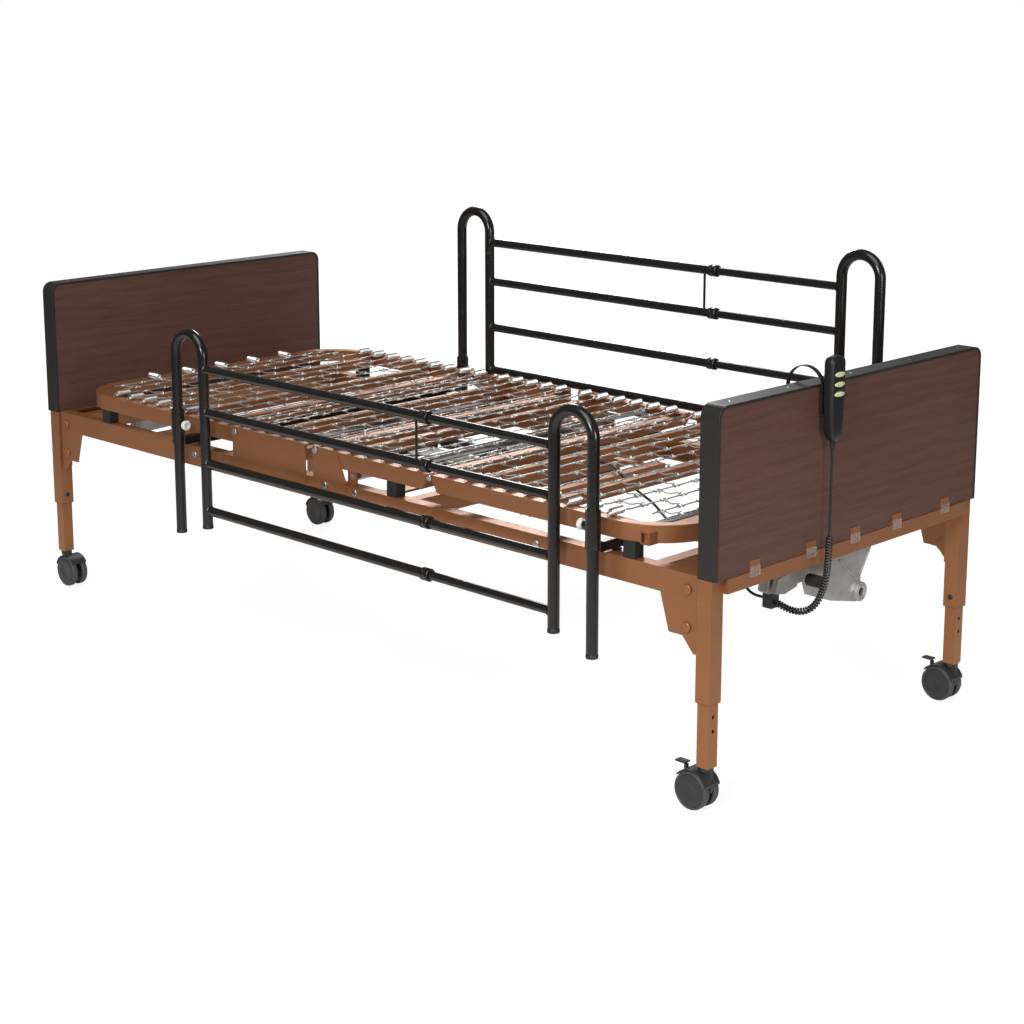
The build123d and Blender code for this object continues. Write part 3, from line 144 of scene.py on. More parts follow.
class Shader:
    """One material's node tree."""

    def __init__(self, name: str) -> None:
        """Start an empty tree with its output."""
        self.material = bpy.data.materials.new(name)
        self.material.use_nodes = True
        self.tree = self.material.node_tree
        self.tree.nodes.clear()
        self.out = self.tree.nodes.new("ShaderNodeOutputMaterial")

    def node(self, kind: str, settings: dict, inputs: dict, output: str | int = 0) -> Value:
        """Add a node.

        Args:
            kind: the node's type.
            settings: its own settings, set first; "stops" holds a ramp's (place, colour) pairs.
            inputs: sockets by name or number, as numbers, colours or other values.
            output: the socket that the result is taken from.

        Returns:
            The chosen output.
        """
        made = self.tree.nodes.new(kind)
        for key, setting in settings.items():
            if key == "stops":
                ramp = made.color_ramp
                while len(ramp.elements) < len(setting):
                    ramp.elements.new(0.5)
                for element, (place, colour) in zip(ramp.elements, setting):
                    element.position = place
                    element.color = (*colour, 1.0)
            else:
                setattr(made, key, setting)
        for key, value in inputs.items():
            socket = made.inputs[key]
            if isinstance(value, Value):
                self.tree.links.new(value.socket, socket)
            else:
                socket.default_value = value
        return Value(self, made.outputs[output])

    def place(self, scale: Point = (1, 1, 1)) -> Value:
        """Object coordinates in metres, stretched."""
        coords = self.node("ShaderNodeTexCoord", {}, {}, "Object")
        return self.node("ShaderNodeMapping", {}, {"Vector": coords, "Scale": scale})

    def noise(self, scale: float, detail: float = 3.0, rough: float = 0.5,
              at: Value | None = None) -> Value:
        """Soft noise between 0 and 1.

        Args:
            scale: lumps per metre.
            detail: how many finer layers.
            rough: strength of the finer layers.
            at: coordinates, or the object's own.

        Returns:
            The noise.
        """
        where = at if at is not None else self.place()
        return self.node("ShaderNodeTexNoise", {}, {
            "Vector": where, "Scale": scale, "Detail": detail, "Roughness": rough}, "Fac")

    def blend(self, mask: Value, low: "Value | Point", high: "Value | Point") -> Value:
        """Mix two colours by a mask."""
        low, high = (c if isinstance(c, Value) else (*c, 1.0) for c in (low, high))
        return self.node("ShaderNodeMix", {"data_type": "RGBA"}, {0: mask, 6: low, 7: high}, 2)

    def bump(self, height: Value, depth: float, strength: float = 1.0) -> Value:
        """Raise the surface by a height in metres times the pattern."""
        return self.node("ShaderNodeBump", {}, {
            "Height": height, "Distance": depth, "Strength": strength})

    def finish(self, inputs: dict) -> bpy.types.Material:
        """Join everything to a Principled shader.

        Args:
            inputs: its sockets by name.

        Returns:
            The material.
        """
        shader = self.node("ShaderNodeBsdfPrincipled", {}, inputs)
        self.tree.links.new(shader.socket, self.out.inputs["Surface"])
        return self.material


# ---------------------------------------------------------------- finishes
def toned(colour: Point, factor: float) -> Point:
    """A colour made darker or lighter by a factor."""
    return tuple(c * factor for c in colour)


@dataclass(frozen=True)
class CopperPaint:
    """Semi-gloss copper-brown powder coat with fine texture, dull rubbed patches and painted
    glints.
    """

    slot: ClassVar[str] = "copper_paint"
    colour: Point = (0.34, 0.135, 0.052)
    # Lighter tone of the rubbed wear, also used for the painted glints.
    worn_and_glint: Point = (0.42, 0.20, 0.09)

    def make(self) -> bpy.types.Material:
        """Colour drifts slowly, fine grain spots are painted lighter as glints, and a pebbled bump
        breaks the gloss.
        """
        s = Shader(self.slot)
        drift = s.noise(5.0, 4.0, 0.6)
        grain = s.noise(900.0, 2.0, 0.7)
        pebble = s.noise(420.0, 2.0, 0.5)
        rubbed = s.noise(22.0, 5.0, 0.75).above(0.62, 0.12)
        base = s.blend(drift, toned(self.colour, 0.82), toned(self.colour, 1.12))
        # Painted highlight: fine grain spots are lightened towards the lighter tone as glints.
        base = s.blend(grain.above(0.6, 0.2) * 0.45, base, self.worn_and_glint)
        base = s.blend(rubbed * 0.25, base, self.worn_and_glint)
        return s.finish({"Base Color": base, "Metallic": 0.5,
                         "Roughness": 0.38 + pebble * 0.1 + rubbed * 0.1,
                         "Coat Weight": 0.12, "Coat Roughness": 0.25,
                         "Normal": s.bump(pebble, 0.00012)})


@dataclass(frozen=True)
class WalnutLaminate:
    """Satin dark walnut laminate, its grain level across the bed."""

    slot: ClassVar[str] = "laminate"
    dark: Point = (0.064, 0.026, 0.018)
    middle: Point = (0.105, 0.044, 0.029)
    light: Point = (0.138, 0.061, 0.041)

    def make(self) -> bpy.types.Material:
        """Long streaks from stretched noise, slow cathedral bands, and short dark pores."""
        s = Shader(self.slot)
        along = s.place((70.0, 2.6, 70.0))
        bend = s.noise(1.0, 3.0, 0.5, s.place((2.0, 1.6, 6.0)))
        streak = s.noise(3.0, 7.0, 0.7, along)
        arcs = s.node("ShaderNodeTexWave", {"bands_direction": "Z", "wave_profile": "SAW"},
                      {"Vector": s.place((1.0, 0.12, 1.0)), "Scale": 11.0, "Distortion": 9.0,
                       "Detail": 4.0, "Detail Scale": 0.8, "Detail Roughness": 0.6}, "Fac")
        pores = s.noise(9.0, 3.0, 0.6, s.place((60.0, 5.0, 90.0))).above(0.62, 0.1)
        tone = streak * 0.66 + arcs * 0.09 + bend * 0.25
        stops = [(0.3, self.dark), (0.5, self.middle), (0.72, self.light)]
        wood = s.node("ShaderNodeValToRGB", {"stops": stops}, {"Fac": tone}, "Color")
        wood = s.blend(pores * 0.4, wood, toned(self.dark, 0.55))
        return s.finish({"Base Color": wood, "Roughness": 0.46 + streak * 0.12,
                         "Coat Weight": 0.05, "Coat Roughness": 0.3,
                         "Normal": s.bump(pores, 0.00008, 0.5)})


@dataclass(frozen=True)
class BlackPaint:
    """Glossy black powder coat on round tube."""

    slot: ClassVar[str] = "black_paint"

    def make(self) -> bpy.types.Material:
        """Near black, with orange peel and faint dusty scuffs."""
        s = Shader(self.slot)
        peel = s.noise(260.0, 2.0, 0.5)
        scuff = s.noise(34.0, 6.0, 0.8).above(0.63, 0.1)
        base = s.blend(scuff * 0.4, (0.0075, 0.0068, 0.006), (0.03, 0.027, 0.024))
        return s.finish({"Base Color": base, "Roughness": 0.2 + scuff * 0.14 + peel * 0.05,
                         "Coat Weight": 0.15, "Coat Roughness": 0.12,
                         "Normal": s.bump(peel, 0.00007)})


@dataclass(frozen=True)
class MouldedPlastic:
    """Satin moulded plastic with a leathery texture."""

    slot: str
    colour: Point
    rough: float = 0.45
    grain: float = 700.0
    depth: float = 0.00006
    coat: float = 0.0

    def make(self) -> bpy.types.Material:
        """Fine pebbled bump, and colour and gloss that drift a little."""
        s = Shader(self.slot)
        pebble = s.noise(self.grain, 2.0, 0.6)
        drift = s.noise(16.0, 4.0, 0.6)
        base = s.blend(drift, toned(self.colour, 0.88), toned(self.colour, 1.14))
        return s.finish({"Base Color": base, "Roughness": self.rough - 0.06 + drift * 0.12,
                         "Coat Weight": self.coat, "Coat Roughness": 0.2,
                         "Normal": s.bump(pebble, self.depth)})


@dataclass(frozen=True)
class PlatedSteel:
    """Bright zinc plate or drawn wire."""

    slot: str
    colour: Point = (0.62, 0.64, 0.66)
    rough: float = 0.24
    stain: Point = (0.42, 0.42, 0.40)

    def make(self) -> bpy.types.Material:
        """Spangled plate: cells change the gloss, and slow clouds dull it."""
        s = Shader(self.slot)
        cells = s.node("ShaderNodeTexVoronoi", {}, {"Vector": s.place(), "Scale": 330.0},
                       "Distance")
        cloud = s.noise(60.0, 4.0, 0.7)
        base = s.blend(cloud.above(0.55, 0.25) * 0.7, self.colour, self.stain)
        return s.finish({"Base Color": base, "Metallic": 1.0,
                         "Roughness": self.rough + cells * 0.12 + cloud * 0.1,
                         "Normal": s.bump(cells, 0.00003)})


@dataclass(frozen=True)
class CastAluminium:
    """Light grey die-cast aluminium, slightly sandy."""

    slot: ClassVar[str] = "cast_aluminium"

    def make(self) -> bpy.types.Material:
        """Sandy bump, with darker flow marks."""
        s = Shader(self.slot)
        sand = s.noise(800.0, 3.0, 0.7)
        flow = s.noise(28.0, 5.0, 0.6, s.place((1.0, 0.4, 1.0)))
        base = s.blend(flow.above(0.5, 0.35), (0.52, 0.51, 0.49), (0.36, 0.35, 0.33))
        return s.finish({"Base Color": base, "Metallic": 0.75, "Roughness": 0.42 + sand * 0.16,
                         "Normal": s.bump(sand, 0.00015)})


@dataclass(frozen=True)
class ClearPlastic:
    """Slightly milky clear plastic."""

    slot: ClassVar[str] = "clear_plastic"

    def make(self) -> bpy.types.Material:
        """Mostly clear, with haze that varies."""
        s = Shader(self.slot)
        haze = s.noise(40.0, 3.0, 0.5)
        return s.finish({"Base Color": s.blend(haze, (0.80, 0.79, 0.77), (0.92, 0.92, 0.90)),
                         "Roughness": 0.1 + haze * 0.1, "Alpha": 0.12 + haze * 0.1,
                         "Normal": s.bump(haze, 0.0003)})


class Finishes:
    """Every finish by its slot name, made once."""

    def __init__(self) -> None:
        """Make the materials."""
        kinds = [
            CopperPaint(), WalnutLaminate(), BlackPaint(), CastAluminium(), ClearPlastic(),
            MouldedPlastic("black_trim", (0.0165, 0.0148, 0.0135), 0.46, 500.0, 0.0001),
            MouldedPlastic("black_plastic", (0.012, 0.012, 0.0125), 0.42, 600.0, 0.00012),
            MouldedPlastic("rubber", (0.014, 0.014, 0.014), 0.68, 500.0, 0.0001),
            MouldedPlastic("white_plastic", (0.74, 0.73, 0.70), 0.32, 300.0, 0.00003, 0.2),
            MouldedPlastic("pendant_plastic", (0.0095, 0.0095, 0.010), 0.36, 900.0, 0.00006),
            MouldedPlastic("key_plastic", (0.66, 0.70, 0.36), 0.38, 500.0, 0.00003),
            MouldedPlastic("cord_jacket", (0.0135, 0.013, 0.0135), 0.36, 700.0, 0.00003, 0.15),
            MouldedPlastic("caster_plastic", (0.022, 0.022, 0.023), 0.4, 500.0, 0.0001),
            MouldedPlastic("caster_wheel", (0.050, 0.050, 0.051), 0.55, 420.0, 0.0001),
            PlatedSteel("zinc"),
            PlatedSteel("spring_wire", (0.70, 0.69, 0.66), 0.2, (0.47, 0.45, 0.41)),
        ]
        self.by_slot = {kind.slot: kind.make() for kind in kinds}
        self.ink = MouldedPlastic("key_ink", (0.03, 0.035, 0.02), 0.5, 500.0, 0.00001).make()

    def __getitem__(self, slot: str) -> bpy.types.Material:
        """The material of a slot."""
        return self.by_slot[slot]


# ---------------------------------------------------------------- mesh makers
class Place:
    """Turns the bed's millimetres into the object's metres."""

    def __init__(self) -> None:
        """Read the bed's middle from the two end panels."""
        low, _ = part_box("head_panel_trim")
        _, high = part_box("foot_panel_trim")
        self.shift = np.array([(low.x + high.x) / 2, 0.0, 0.0])

    def metres(self, points: np.ndarray | Point) -> np.ndarray:
        """Millimetres in the bed's frame to metres in the object's."""
        return np.asarray(points, float) / 1000.0 + self.shift


class Body:
    """Which body each node rides on, read from the record."""

    def __init__(self, frame: dict) -> None:
        """Keep the grouping of nodes."""
        record = frame["record"]
        self.of_node = {n: b for b, nodes in record["behaviour"]["bodies"].items() for n in nodes}


@dataclass
class Shape:
    """Points and faces of one piece, gathered from whole-array surfaces."""

    name: str
    points: list[np.ndarray] = field(default_factory=list)
    faces: list[np.ndarray] = field(default_factory=list)
    marks: list[np.ndarray] = field(default_factory=list)
    count: int = 0

    def add(self, points: np.ndarray, faces: list[np.ndarray], mark: int = 0) -> None:
        """Keep a surface: points (n, 3) and arrays of faces that number them from 0."""
        self.points.append(points.reshape(-1, 3))
        for group in faces:
            self.faces.append(group.reshape(-1, group.shape[-1]) + self.count)
            self.marks.append(np.full(len(self.faces[-1]), mark))
        self.count += len(self.points[-1])

    def loft(self, rings: np.ndarray, mark: int = 0) -> None:
        """Closed rings (m, n, 3), each joined to the next by quads that face outwards."""
        index = np.arange(rings.shape[0] * rings.shape[1]).reshape(rings.shape[:2])
        ahead = np.roll(index, -1, axis=1)
        self.add(rings, [np.stack([index[:-1], ahead[:-1], ahead[1:], index[1:]], axis=-1)], mark)

    def tubes(self, paths: np.ndarray, radius: float, sides: int, ref: Point) -> None:
        """Round tubes with closed ends, along several paths at once.

        A point of the wall is path + radius * (cos a * side + sin a * up), where side is square to
        the tangent and to ref, and up is square to both.

        Args:
            paths: (k, n, 3) points of k paths, or (n, 3) of one.
            radius: the tubes' radius.
            sides: how many faces go round.
            ref: a direction that no path runs along.
        """
        paths = np.asarray(paths, float)
        if paths.ndim == 2:
            paths = paths[None]
        k, n, _ = paths.shape
        tangent = np.gradient(paths, axis=1)
        tangent /= np.linalg.norm(tangent, axis=-1, keepdims=True)
        side = np.cross(tangent, np.broadcast_to(np.asarray(ref, float), tangent.shape))
        side /= np.linalg.norm(side, axis=-1, keepdims=True)
        up = np.cross(side, tangent)
        angle = np.arange(sides) * TURN / sides
        ring = np.cos(angle)[:, None] * side[:, :, None] + np.sin(angle)[:, None] * up[:, :, None]
        wall = paths[:, :, None] + radius * ring
        index = np.arange(k * n * sides).reshape(k, n, sides)
        ahead = np.roll(index, -1, axis=2)
        quads = np.stack([index[:, :-1], index[:, 1:], ahead[:, 1:], ahead[:, :-1]], axis=-1)
        hubs = np.stack([paths[:, 0], paths[:, -1]], axis=1)
        hub = np.broadcast_to(k * n * sides + np.arange(k * 2).reshape(k, 2, 1), (k, 2, sides))
        first = np.stack([hub[:, 0], index[:, 0], ahead[:, 0]], axis=-1)
        last = np.stack([hub[:, 1], ahead[:, -1], index[:, -1]], axis=-1)
        points = np.concatenate([wall.reshape(-1, 3), hubs.reshape(-1, 3)])
        self.add(points, [quads, first, last])

    def turned(self, profile: list[tuple[float, float]], origin: Point, axis: Axis, sides: int = 32,
               mark: int = 0) -> None:
        """A profile turned about an axis.

        A point of the wall is origin + height * axis + radius * (cos a * u + sin a * v).

        Args:
            profile: (radius, height) pairs in order of rising height outside.
            origin: where height 0 lies.
            axis: the turning axis.
            sides: how many faces go round.
            mark: the material's number.
        """
        u, v, w = (np.array(d, float) for d in axis.value)
        pairs = np.array(profile, float)
        angle = np.arange(sides) * TURN / sides
        ring = np.cos(angle)[:, None] * u + np.sin(angle)[:, None] * v
        wall = np.array(origin, float) + pairs[:, None, 1:] * w + pairs[:, None, :1] * ring[None]
        self.loft(wall, mark)

    def slab(self, outline: list[tuple[float, float]], axis: Axis, start: float, end: float,
             bevel: float = 0.8, mark: int = 0) -> None:
        """A flat convex outline pushed along an axis, with bevelled ends closed by fans.

        Args:
            outline: corners in the plane of the axis's u and v, turning from u to v.
            axis: the direction it is pushed in.
            start: where it starts along the axis.
            end: where it ends.
            bevel: width of the bevel round both ends.
            mark: the material's number.
        """
        u, v, w = (np.array(d, float) for d in axis.value)
        flat = np.array(outline, float)
        ahead = np.roll(flat, -1, axis=0) - flat
        normal = np.stack([ahead[:, 1], -ahead[:, 0]], axis=1)
        normal /= np.linalg.norm(normal, axis=1, keepdims=True)
        mitre = normal + np.roll(normal, 1, axis=0)
        mitre /= (mitre * normal).sum(1, keepdims=True)
        inner = flat - bevel * mitre
        centre = flat.mean(0, keepdims=True).repeat(len(flat), 0)
        rings = [(centre, start), (inner, start), (flat, start + bevel),
                 (flat, end - bevel), (inner, end), (centre, end)]
        self.loft(np.stack([p[:, :1] * u + p[:, 1:] * v + h * w for p, h in rings]), mark)

    def build(self, place: Place, materials: list[bpy.types.Material],
              sharp: float = 38.0) -> bpy.types.Object:
        """Put everything gathered into one object.

        Args:
            place: turns millimetres into metres.
            materials: its materials, in the order of the marks.
            sharp: edges over this angle in degrees stay sharp.

        Returns:
            The object, linked to the scene.
        """
        points = place.metres(np.concatenate(self.points))
        loops = np.concatenate([f.ravel() for f in self.faces])
        sizes = np.concatenate([np.full(len(f), f.shape[1]) for f in self.faces])
        mesh = bpy.data.meshes.new(self.name)
        mesh.vertices.add(len(points))
        mesh.vertices.foreach_set("co", points.astype(np.float32).ravel())
        mesh.loops.add(len(loops))
        mesh.loops.foreach_set("vertex_index", loops.astype(np.int32))
        mesh.polygons.add(len(sizes))
        mesh.polygons.foreach_set("loop_start", (np.cumsum(sizes) - sizes).astype(np.int32))
        mesh.polygons.foreach_set("material_index", np.concatenate(self.marks).astype(np.int32))
        mesh.update(calc_edges=True)
        for material in materials:
            mesh.materials.append(material)
        return Finisher.tidy(self.name, mesh, 1e-6, sharp)


def facing(profile: list[tuple[float, float]], way: float) -> list[tuple[float, float]]:
    """A profile to be turned, mirrored along its axis where the way is negative."""
    return profile if way > 0 else [(radius, -height) for radius, height in reversed(profile)]


class Finisher:
    """Steps that end every mesh."""

    @staticmethod
    def tidy(name: str, mesh: bpy.types.Mesh, weld: float, sharp: float) -> bpy.types.Object:
        """Weld a mesh, smooth it and link its object.

        Args:
            name: the object's name.
            mesh: the mesh.
            weld: points nearer than this many metres become one.
            sharp: edges over this angle in degrees stay sharp.

        Returns:
            The object.
        """
        made = bmesh.new()
        made.from_mesh(mesh)
        bmesh.ops.remove_doubles(made, verts=made.verts, dist=weld)
        made.to_mesh(mesh)
        made.free()
        mesh.shade_smooth()
        mesh.set_sharp_from_angle(angle=math.radians(sharp))
        piece = bpy.data.objects.new(name, mesh)
        bpy.context.scene.collection.objects.link(piece)
        return piece


class Workshop:
    """What every sub-assembly needs: the frame, the finishes and the places."""

    def __init__(self, frame: dict) -> None:
        """Read the frame and make the finishes."""
        self.frame = frame
        self.finishes = Finishes()
        self.place = Place()
        self.body = Body(frame)

    def settle(self, piece: bpy.types.Object, slot: str, *nodes: str) -> None:
        """Let a piece ride with the nodes it stands for.

        Args:
            piece: the finished piece.
            slot: the record's slot of its finish; not used.
            nodes: CAD nodes that it replaces, all on one body.
        """
        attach(piece, self.body.of_node[nodes[0]])
        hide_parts(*nodes)
        log.info("%s stands for %s", piece.name, ", ".join(nodes))

    def finished(self, shape: Shape, slot: str, *nodes: str, extra: tuple = (),
                 sharp: float = 38.0) -> None:
        """Build a gathered shape and settle it.

        Args:
            shape: the gathered surfaces.
            slot: the record's slot of its finish.
            nodes: CAD nodes that it replaces.
            extra: materials of the marks above 0.
            sharp: edges over this angle in degrees stay sharp.
        """
        piece = shape.build(self.place, [self.finishes[slot], *extra], sharp)
        self.settle(piece, slot, *nodes)

    def rounded(self, node: str, slot: str, width: float, painted: float = 0.0) -> None:
        """Stand a copy with eased edges in for a CAD node.

        The copy's loose triangles are welded, flat neighbours are joined, and a Bevel modifier
        rounds every edge over 40 degrees.

        Args:
            node: the CAD node.
            slot: its finish.
            width: bevel width in millimetres.
            painted: faces further than this many metres from the middle are painted like the frame.
        """
        mesh = self.frame["nodes"][node].data.copy()
        mesh.name = f"{node}_eased"
        mesh.materials.clear()
        mesh.materials.append(self.finishes[slot])
        if painted:
            mesh.materials.append(self.finishes["copper_paint"])
        made = bmesh.new()
        made.from_mesh(mesh)
        bmesh.ops.remove_doubles(made, verts=made.verts, dist=2e-6)
        bmesh.ops.dissolve_limit(made, angle_limit=math.radians(0.5), verts=made.verts,
                                 edges=made.edges)
        for face in made.faces:
            far_out = abs(face.calc_center_median().x) > painted
            face.material_index = int(bool(painted) and far_out)
        made.to_mesh(mesh)
        made.free()
        piece = Finisher.tidy(mesh.name, mesh, 1e-7, 40.0)
        if width:
            ease = piece.modifiers.new("ease", "BEVEL")
            ease.width = width / 1000.0
            ease.segments = 2
            ease.limit_method = "ANGLE"
            ease.angle_limit = math.radians(40)
            ease.miter_outer = "MITER_ARC"
            ease.use_clamp_overlap = True
        self.settle(piece, slot, node)


# ---------------------------------------------------------------- sub-assemblies
@dataclass
class Pendant:
    """Hand pendant with three two-way keys, its lead and the curly length under it."""

    shop: Workshop
    front: float = 1175.0
    middle: float = -120.0
    back: float = 1149.0
    low: float = 705.0
    high: float = 880.0
    half_tail: float = 16.5
    half_swell: float = 7.5
    tail_share: float = 0.16
    crown_share: float = 0.10
    end_power: float = 2.6
    thin_share: float = 0.25
    pocket_gap: float = 1.0
    pocket_floor: float = 2.4
    keys: tuple = (("head_key", 843.0), ("knee_key", 823.0), ("height_key", 803.0))
    key_half: tuple = (15.5, 5.0)
    key_back: float = 4.1
    key_proud: float = 2.5
    arrow_out: float = 8.0
    relief_low: float = 689.0
    relief_length: float = 16.0
    lead_radius: float = 2.5
    lead_route: tuple = ((1162, -120, 689), (1162, -120, 600), (1162, -120, 512))
    curl_route: tuple = ((1162, -120, 512), (1162, -120, 450), (1160, -130, 398), (1148, -150, 356),
                         (1120, -184, 352), (1085, -196, 372))
    curl_radius: float = 5.5
    curl_pitch: float = 5.8

    def route_curve(self, name: str, route: tuple) -> bpy.types.Object:
        """A smooth curve with a route's points as its control points."""
        curve = bpy.data.curves.new(name, "CURVE")
        curve.dimensions = "3D"
        curve.resolution_u = 24
        spline = curve.splines.new("NURBS")
        points = self.shop.place.metres(np.array(route, float))
        spline.points.add(len(points) - 1)
        spline.points.foreach_set("co", np.c_[points, np.ones(len(points))].ravel())
        spline.order_u = 3
        spline.use_endpoint_u = True
        made = bpy.data.objects.new(name, curve)
        bpy.context.scene.collection.objects.link(made)
        return made

    def build_cords(self) -> None:
        """The straight lead is a bevelled curve, and the curly length a helix round its route.

        Helix: route point + radius * (cos t * side + sin t * up), where t grows by a turn a pitch.
        """
        shop = self.shop
        lead = self.route_curve("pendant_lead", self.lead_route)
        lead.data.bevel_depth = self.lead_radius / 1000
        lead.data.bevel_resolution = 4
        lead.data.use_fill_caps = True
        lead.data.materials.append(shop.finishes["cord_jacket"])
        shop.settle(lead, "cord_jacket", "pendant_cord")
        top, tail = (shop.place.metres(self.lead_route[i]) for i in (0, -1))

        guide = self.route_curve("curl_guide", self.curl_route)
        bpy.context.view_layer.update()
        line = bpy.data.meshes.new_from_object(guide)
        route = np.empty(len(line.vertices) * 3)
        line.vertices.foreach_get("co", route)
        route = (route.reshape(-1, 3) - shop.place.shift) * 1000
        bpy.data.objects.remove(guide)
        run = np.r_[0, np.cumsum(np.linalg.norm(np.diff(route, axis=0), axis=1))]
        turns = int(run[-1] / self.curl_pitch)
        along = np.linspace(0, run[-1], turns * 16 + 1)
        centre = np.stack([np.interp(along, run, route[:, i]) for i in range(3)], axis=1)
        tangent = np.gradient(centre, axis=0)
        tangent /= np.linalg.norm(tangent, axis=1, keepdims=True)
        side = np.cross(tangent, (0.9, 0.3, 0.0))
        side /= np.linalg.norm(side, axis=1, keepdims=True)
        up = np.cross(side, tangent)
        angle = along / run[-1] * turns * TURN
        swell = self.curl_radius * np.clip(np.minimum(along, run[-1] - along) / 9, 0, 1)[:, None]
        helix = centre + swell * (np.cos(angle)[:, None] * side + np.sin(angle)[:, None] * up)
        shape = Shape("pendant_curly_lead")
        shape.tubes(helix, self.lead_radius * 0.96, 8, (0.31, 0.2, 0.93))
        piece = shape.build(shop.place, [shop.finishes["cord_jacket"]])
        shop.settle(piece, "cord_jacket", "pendant_curl")
        path = shop.place.metres(helix)

    def build_shell(self) -> None:
        """Casing: a rounded box that narrows to a blunt tail, with a pocket for each key.

        At height z the outline is |x/d|^4 + |y/w|^4 = 1. Over the tail's and the crown's share of
        the height, both half-sizes close as (1 - s^p)^(1/p), where s runs from 0 to 1 towards the
        end and p is the end power. The depth keeps a share of its size until the last ring.
        """
        sides = 64
        z = self.low + (self.high - self.low) * (1 - np.cos(np.linspace(0, math.pi, 57))) / 2
        part = (z - self.low) / (self.high - self.low)
        tail = np.clip(part / self.tail_share, 0, 1)
        crown = np.clip((1 - part) / self.crown_share, 0, 1)
        power = self.end_power
        close = (1 - (1 - tail) ** power) ** (1 / power) * (1 - (1 - crown) ** power) ** (1 / power)
        width = close * (self.half_tail + self.half_swell * np.clip(part / 0.5, 0, 1) ** 0.8)
        depth = (self.front - self.back) / 2 * (self.thin_share + (1 - self.thin_share) * close)
        depth[[0, -1]] = 0
        angle = np.arange(sides) * TURN / sides
        c, d = np.cos(angle), np.sin(angle)
        size = (np.abs(c) ** 4 + np.abs(d) ** 4) ** (-1 / 4)
        wall = np.stack([(self.front + self.back) / 2 + depth[:, None] * (size * c),
                         self.middle + width[:, None] * (size * d),
                         np.broadcast_to(z[:, None], (len(z), sides))], axis=-1)
        shape = Shape("pendant_casing")
        shape.loft(wall)
        casing = shape.build(self.shop.place, [self.shop.finishes["pendant_plastic"]])
        pockets = Shape("pockets")
        oval = np.stack([c, d], axis=1) * (np.array(self.key_half) + self.pocket_gap)
        for _, height in self.keys:
            pockets.slab([tuple(p) for p in oval + (self.middle, height)], Axis.X,
                         self.front - self.key_back - self.pocket_floor, self.front + 9.0)
        cutter = pockets.build(self.shop.place, [self.shop.finishes["pendant_plastic"]])
        cut = casing.modifiers.new("cut", "BOOLEAN")
        cut.object, cut.solver = cutter, "EXACT"
        bpy.context.view_layer.update()
        old, kept = casing.data, bpy.data.meshes.new_from_object(casing.evaluated_get(
            bpy.context.evaluated_depsgraph_get()))
        casing.modifiers.remove(cut)
        casing.data = kept
        bpy.data.meshes.remove(old)
        bpy.data.objects.remove(cutter)
        self.shop.settle(casing, "pendant_plastic", "pendant_shell")

    def build_keys(self) -> None:
        """Oval keys with a shallow crown, and an arrow printed at each end.

        Each ring is the outline scaled by s. It lies below the crown by about s cubed millimetres,
        and by more at the rounded rim.
        """
        arrow = np.array([(-2.0, -1.1), (2.0, -1.1), (0.0, 2.0)])
        scales = np.array([0.0, 1.0, 1.0, 0.985, 0.95, 0.85, 0.7, 0.5, 0.25, 0.0])
        sunk = np.array([1.7, 1.15, 0.85, 0.5, 0.25, 0.1, 0.02, 0.0])
        base = self.front - self.key_back + 0.15
        top = self.front + self.key_proud
        angle = np.arange(48) * TURN / 48
        ring = np.stack([np.zeros(48), self.key_half[0] * np.cos(angle),
                         self.key_half[1] * np.sin(angle)], axis=1)
        for node, height in self.keys:
            shape = Shape(f"{node}_cap")
            wall = scales[:, None, None] * ring[None]
            wall[:, :, 0] = np.r_[base, base, top - sunk][:, None]
            wall[:, :, 1] += self.middle
            wall[:, :, 2] += height
            shape.loft(wall)
            for side, way in ((-self.arrow_out, 1), (self.arrow_out, -1)):
                corners = arrow * (1, way) + (self.middle + side, height)
                order = corners if way > 0 else corners[::-1]
                shape.slab([tuple(c) for c in order], Axis.X, top - 0.8, top - 0.06, 0.05, 1)
            self.shop.finished(shape, "key_plastic", node, extra=(self.shop.finishes.ink,))

    def build(self) -> None:
        """Casing, hook, relief and keys."""
        shop = self.shop
        self.build_shell()
        shop.rounded("pendant_hook", "pendant_plastic", 0.5)
        relief = Shape("pendant_relief_ribs")
        steps = np.linspace(0, self.relief_length, 34)
        radius = 4.2 + 1.6 * steps / self.relief_length + 0.35 * np.sign(np.sin(steps * 2.2))
        relief.turned([(0, 0), *zip(np.clip(radius, 3.0, 6.0), steps), (0, self.relief_length)],
                      (1162.0, self.middle, self.relief_low), Axis.Z, 28)
        shop.finished(relief, "rubber", "pendant_relief")
        self.build_keys()


